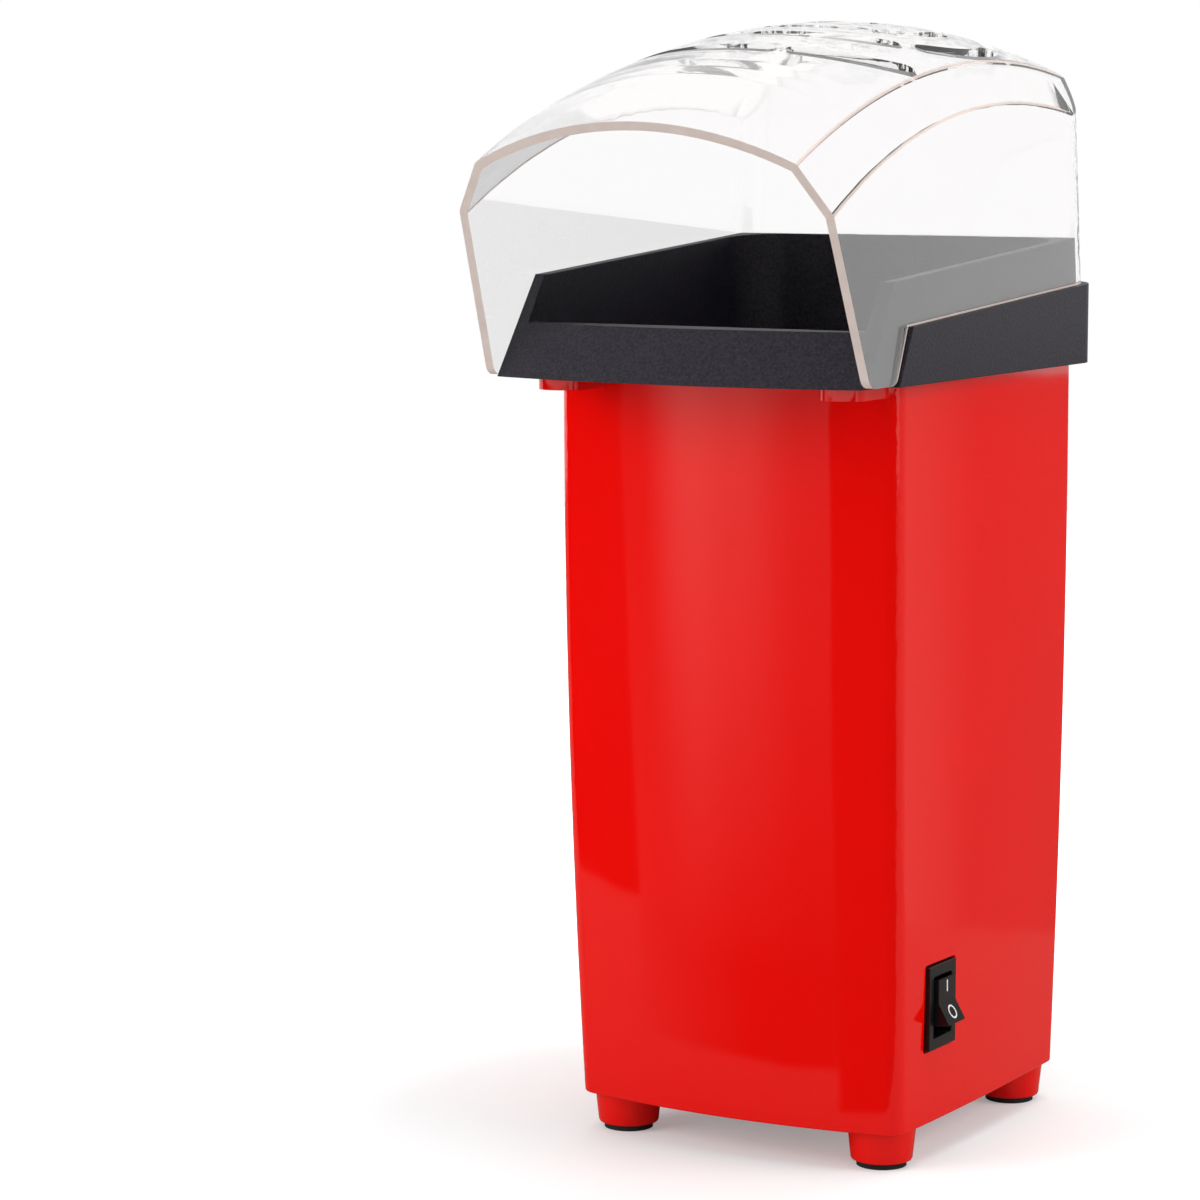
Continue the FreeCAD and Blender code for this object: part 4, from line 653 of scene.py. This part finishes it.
# Soft lamps: round and wide, aimed at half the height of the machine, and left out of reflections
aim = Vector((0, 0, 0.14))
for name, spot, size, watts in (("key_left", (-0.75, -0.95, 0.5), 0.9, 10.0),
                                ("fill_right", (1.1, 0.25, 0.6), 0.8, 7.2),
                                ("top", (0.1, 0.1, 1.2), 0.9, 6.0)):
    lamp = bpy.data.lights.new(name, "AREA")
    lamp.shape = "DISK"
    lamp.size = size
    lamp.energy = watts
    holder = bpy.data.objects.new(name, lamp)
    holder.location = spot
    holder.rotation_euler = (aim - holder.location).to_track_quat("-Z", "Y").to_euler()
    holder.visible_glossy = False
    holder.visible_transmission = False
    bpy.context.collection.objects.link(holder)

# Reflection cards: a lit screen close to the front between black flags, and a grey one at the back
# right, all seen by glossy rays only

# Black cloth: a dull nap that takes the light out of a reflection
flag_black = blank("Black flag cloth")
place = add(flag_black, "TexCoord").outputs["Object"]
nap = add(flag_black, "TexNoise", {"Vector": place, "Scale": per_mm(5)})
cloth = add(flag_black, "ValToRGB", {"Fac": nap.outputs["Fac"]})
cloth.color_ramp.elements[0].color = colour("#040404")
cloth.color_ramp.elements[1].color = colour("#080808")
flag_shader = add(flag_black, "BsdfDiffuse", {"Color": cloth.outputs["Color"]})
add(flag_black, "OutputMaterial", {"Surface": flag_shader.outputs["BSDF"]})

# Lit screen: warm white cloth with a hot spot that fades downwards and to both sides, which gives the
# front of the body its soft upright highlight
warm_white = colour("#FFF6EC")
screen_left, screen_right = -0.074, 0.0199
screen_low, screen_high = 0.004, 0.188
screen_lit = blank("Lit diffusion screen")
place = add(screen_lit, "TexCoord").outputs["Object"]
axes = add(screen_lit, "SeparateXYZ", {"Vector": place})
across = add(screen_lit, "MapRange", {"Value": axes.outputs["X"], "From Min": screen_left,
                                      "From Max": screen_right})
hot_spot = add(screen_lit, "ValToRGB", {"Fac": across.outputs["Result"]})
hot_spot.color_ramp.interpolation = "EASE"
for share, bright in ((0.1, 0.12), (0.4, 1.0), (0.6, 0.78), (0.9, 0.3)):
    stop = hot_spot.color_ramp.elements.new(share)
    stop.color = (bright, bright, bright, 1.0)
hot_spot.color_ramp.elements.remove(hot_spot.color_ramp.elements[-1])
hot_spot.color_ramp.elements.remove(hot_spot.color_ramp.elements[0])
dusk_low, dusk_high = 0.03, 0.165
rise = add(screen_lit, "MapRange", {"Value": axes.outputs["Z"], "From Min": dusk_low, "From Max": dusk_high})
dusk = add(screen_lit, "MapRange", {"Value": across.outputs["Result"], "From Max": 0.6,
                                    "To Min": 0.26, "To Max": 0.02})
shine = add(screen_lit, "Mix", {"Factor": rise.outputs["Result"], "A": dusk.outputs["Result"],
                                "B": hot_spot.outputs["Color"]})
glow = add(screen_lit, "Emission", {"Color": warm_white, "Strength": shine.outputs["Result"]})
add(screen_lit, "OutputMaterial", {"Surface": glow.outputs["Emission"]})

# Grey card: a glowing grey panel that grows brighter to one side, whose reflection paints a soft change of
# tone on the right wall
grey_lit = blank("Glowing grey reflection card")
place = add(grey_lit, "TexCoord").outputs["Object"]
across = add(grey_lit, "SeparateXYZ", {"Vector": place}).outputs["X"]
fall = add(grey_lit, "MapRange", {"Value": across, "From Min": 0.155, "From Max": 0.19,
                                  "To Min": 0.19, "To Max": 0.46})
glow = add(grey_lit, "Emission", {"Color": warm_white, "Strength": fall.outputs["Result"]})
add(grey_lit, "OutputMaterial", {"Surface": glow.outputs["Emission"]})

for name, surface, facing, distance, left, right, low, high in (
        ("screen", screen_lit, 0, 0.08, screen_left, screen_right, screen_low, screen_high),
        ("flag_front", flag_black, 0, 0.06, 0.0239, 0.16, 0.0, 0.188),
        ("flag_left", flag_black, 0, 0.08, -0.4, screen_left, 0.042, 0.188),
        ("screen_back", grey_lit, 150, 0.28, -0.5, 0.14, 0.0, 0.178)):
    card = bmesh.new()
    bmesh.ops.create_grid(card, x_segments=1, y_segments=1, size=0.5)
    bmesh.ops.scale(card, vec=(right - left, high - low, 1), verts=card.verts)
    turn(card, 90, "X")
    bmesh.ops.translate(card, vec=((left + right) / 2, -distance, (low + high) / 2), verts=card.verts)
    turn(card, facing, "Z")
    flag = settle(card, name, surface)
    flag.visible_camera = False
    flag.visible_diffuse = False
    flag.visible_transmission = False
    flag.visible_shadow = False

# Camera: a long lens about a metre off at the front right, looking slightly down
look_down, look_round = 7.08, 30.59
camera = bpy.data.cameras.new("camera")
camera.lens = 115.65
camera.sensor_width = 36
viewer = bpy.data.objects.new("camera", camera)
viewer.location = (0.4475, -0.84395, 0.255)
viewer.rotation_euler = (math.radians(90 - look_down), 0, math.radians(look_round))
bpy.context.collection.objects.link(viewer)
bpy.context.scene.camera = viewer
bpy.context.scene.view_settings.view_transform = "Standard"
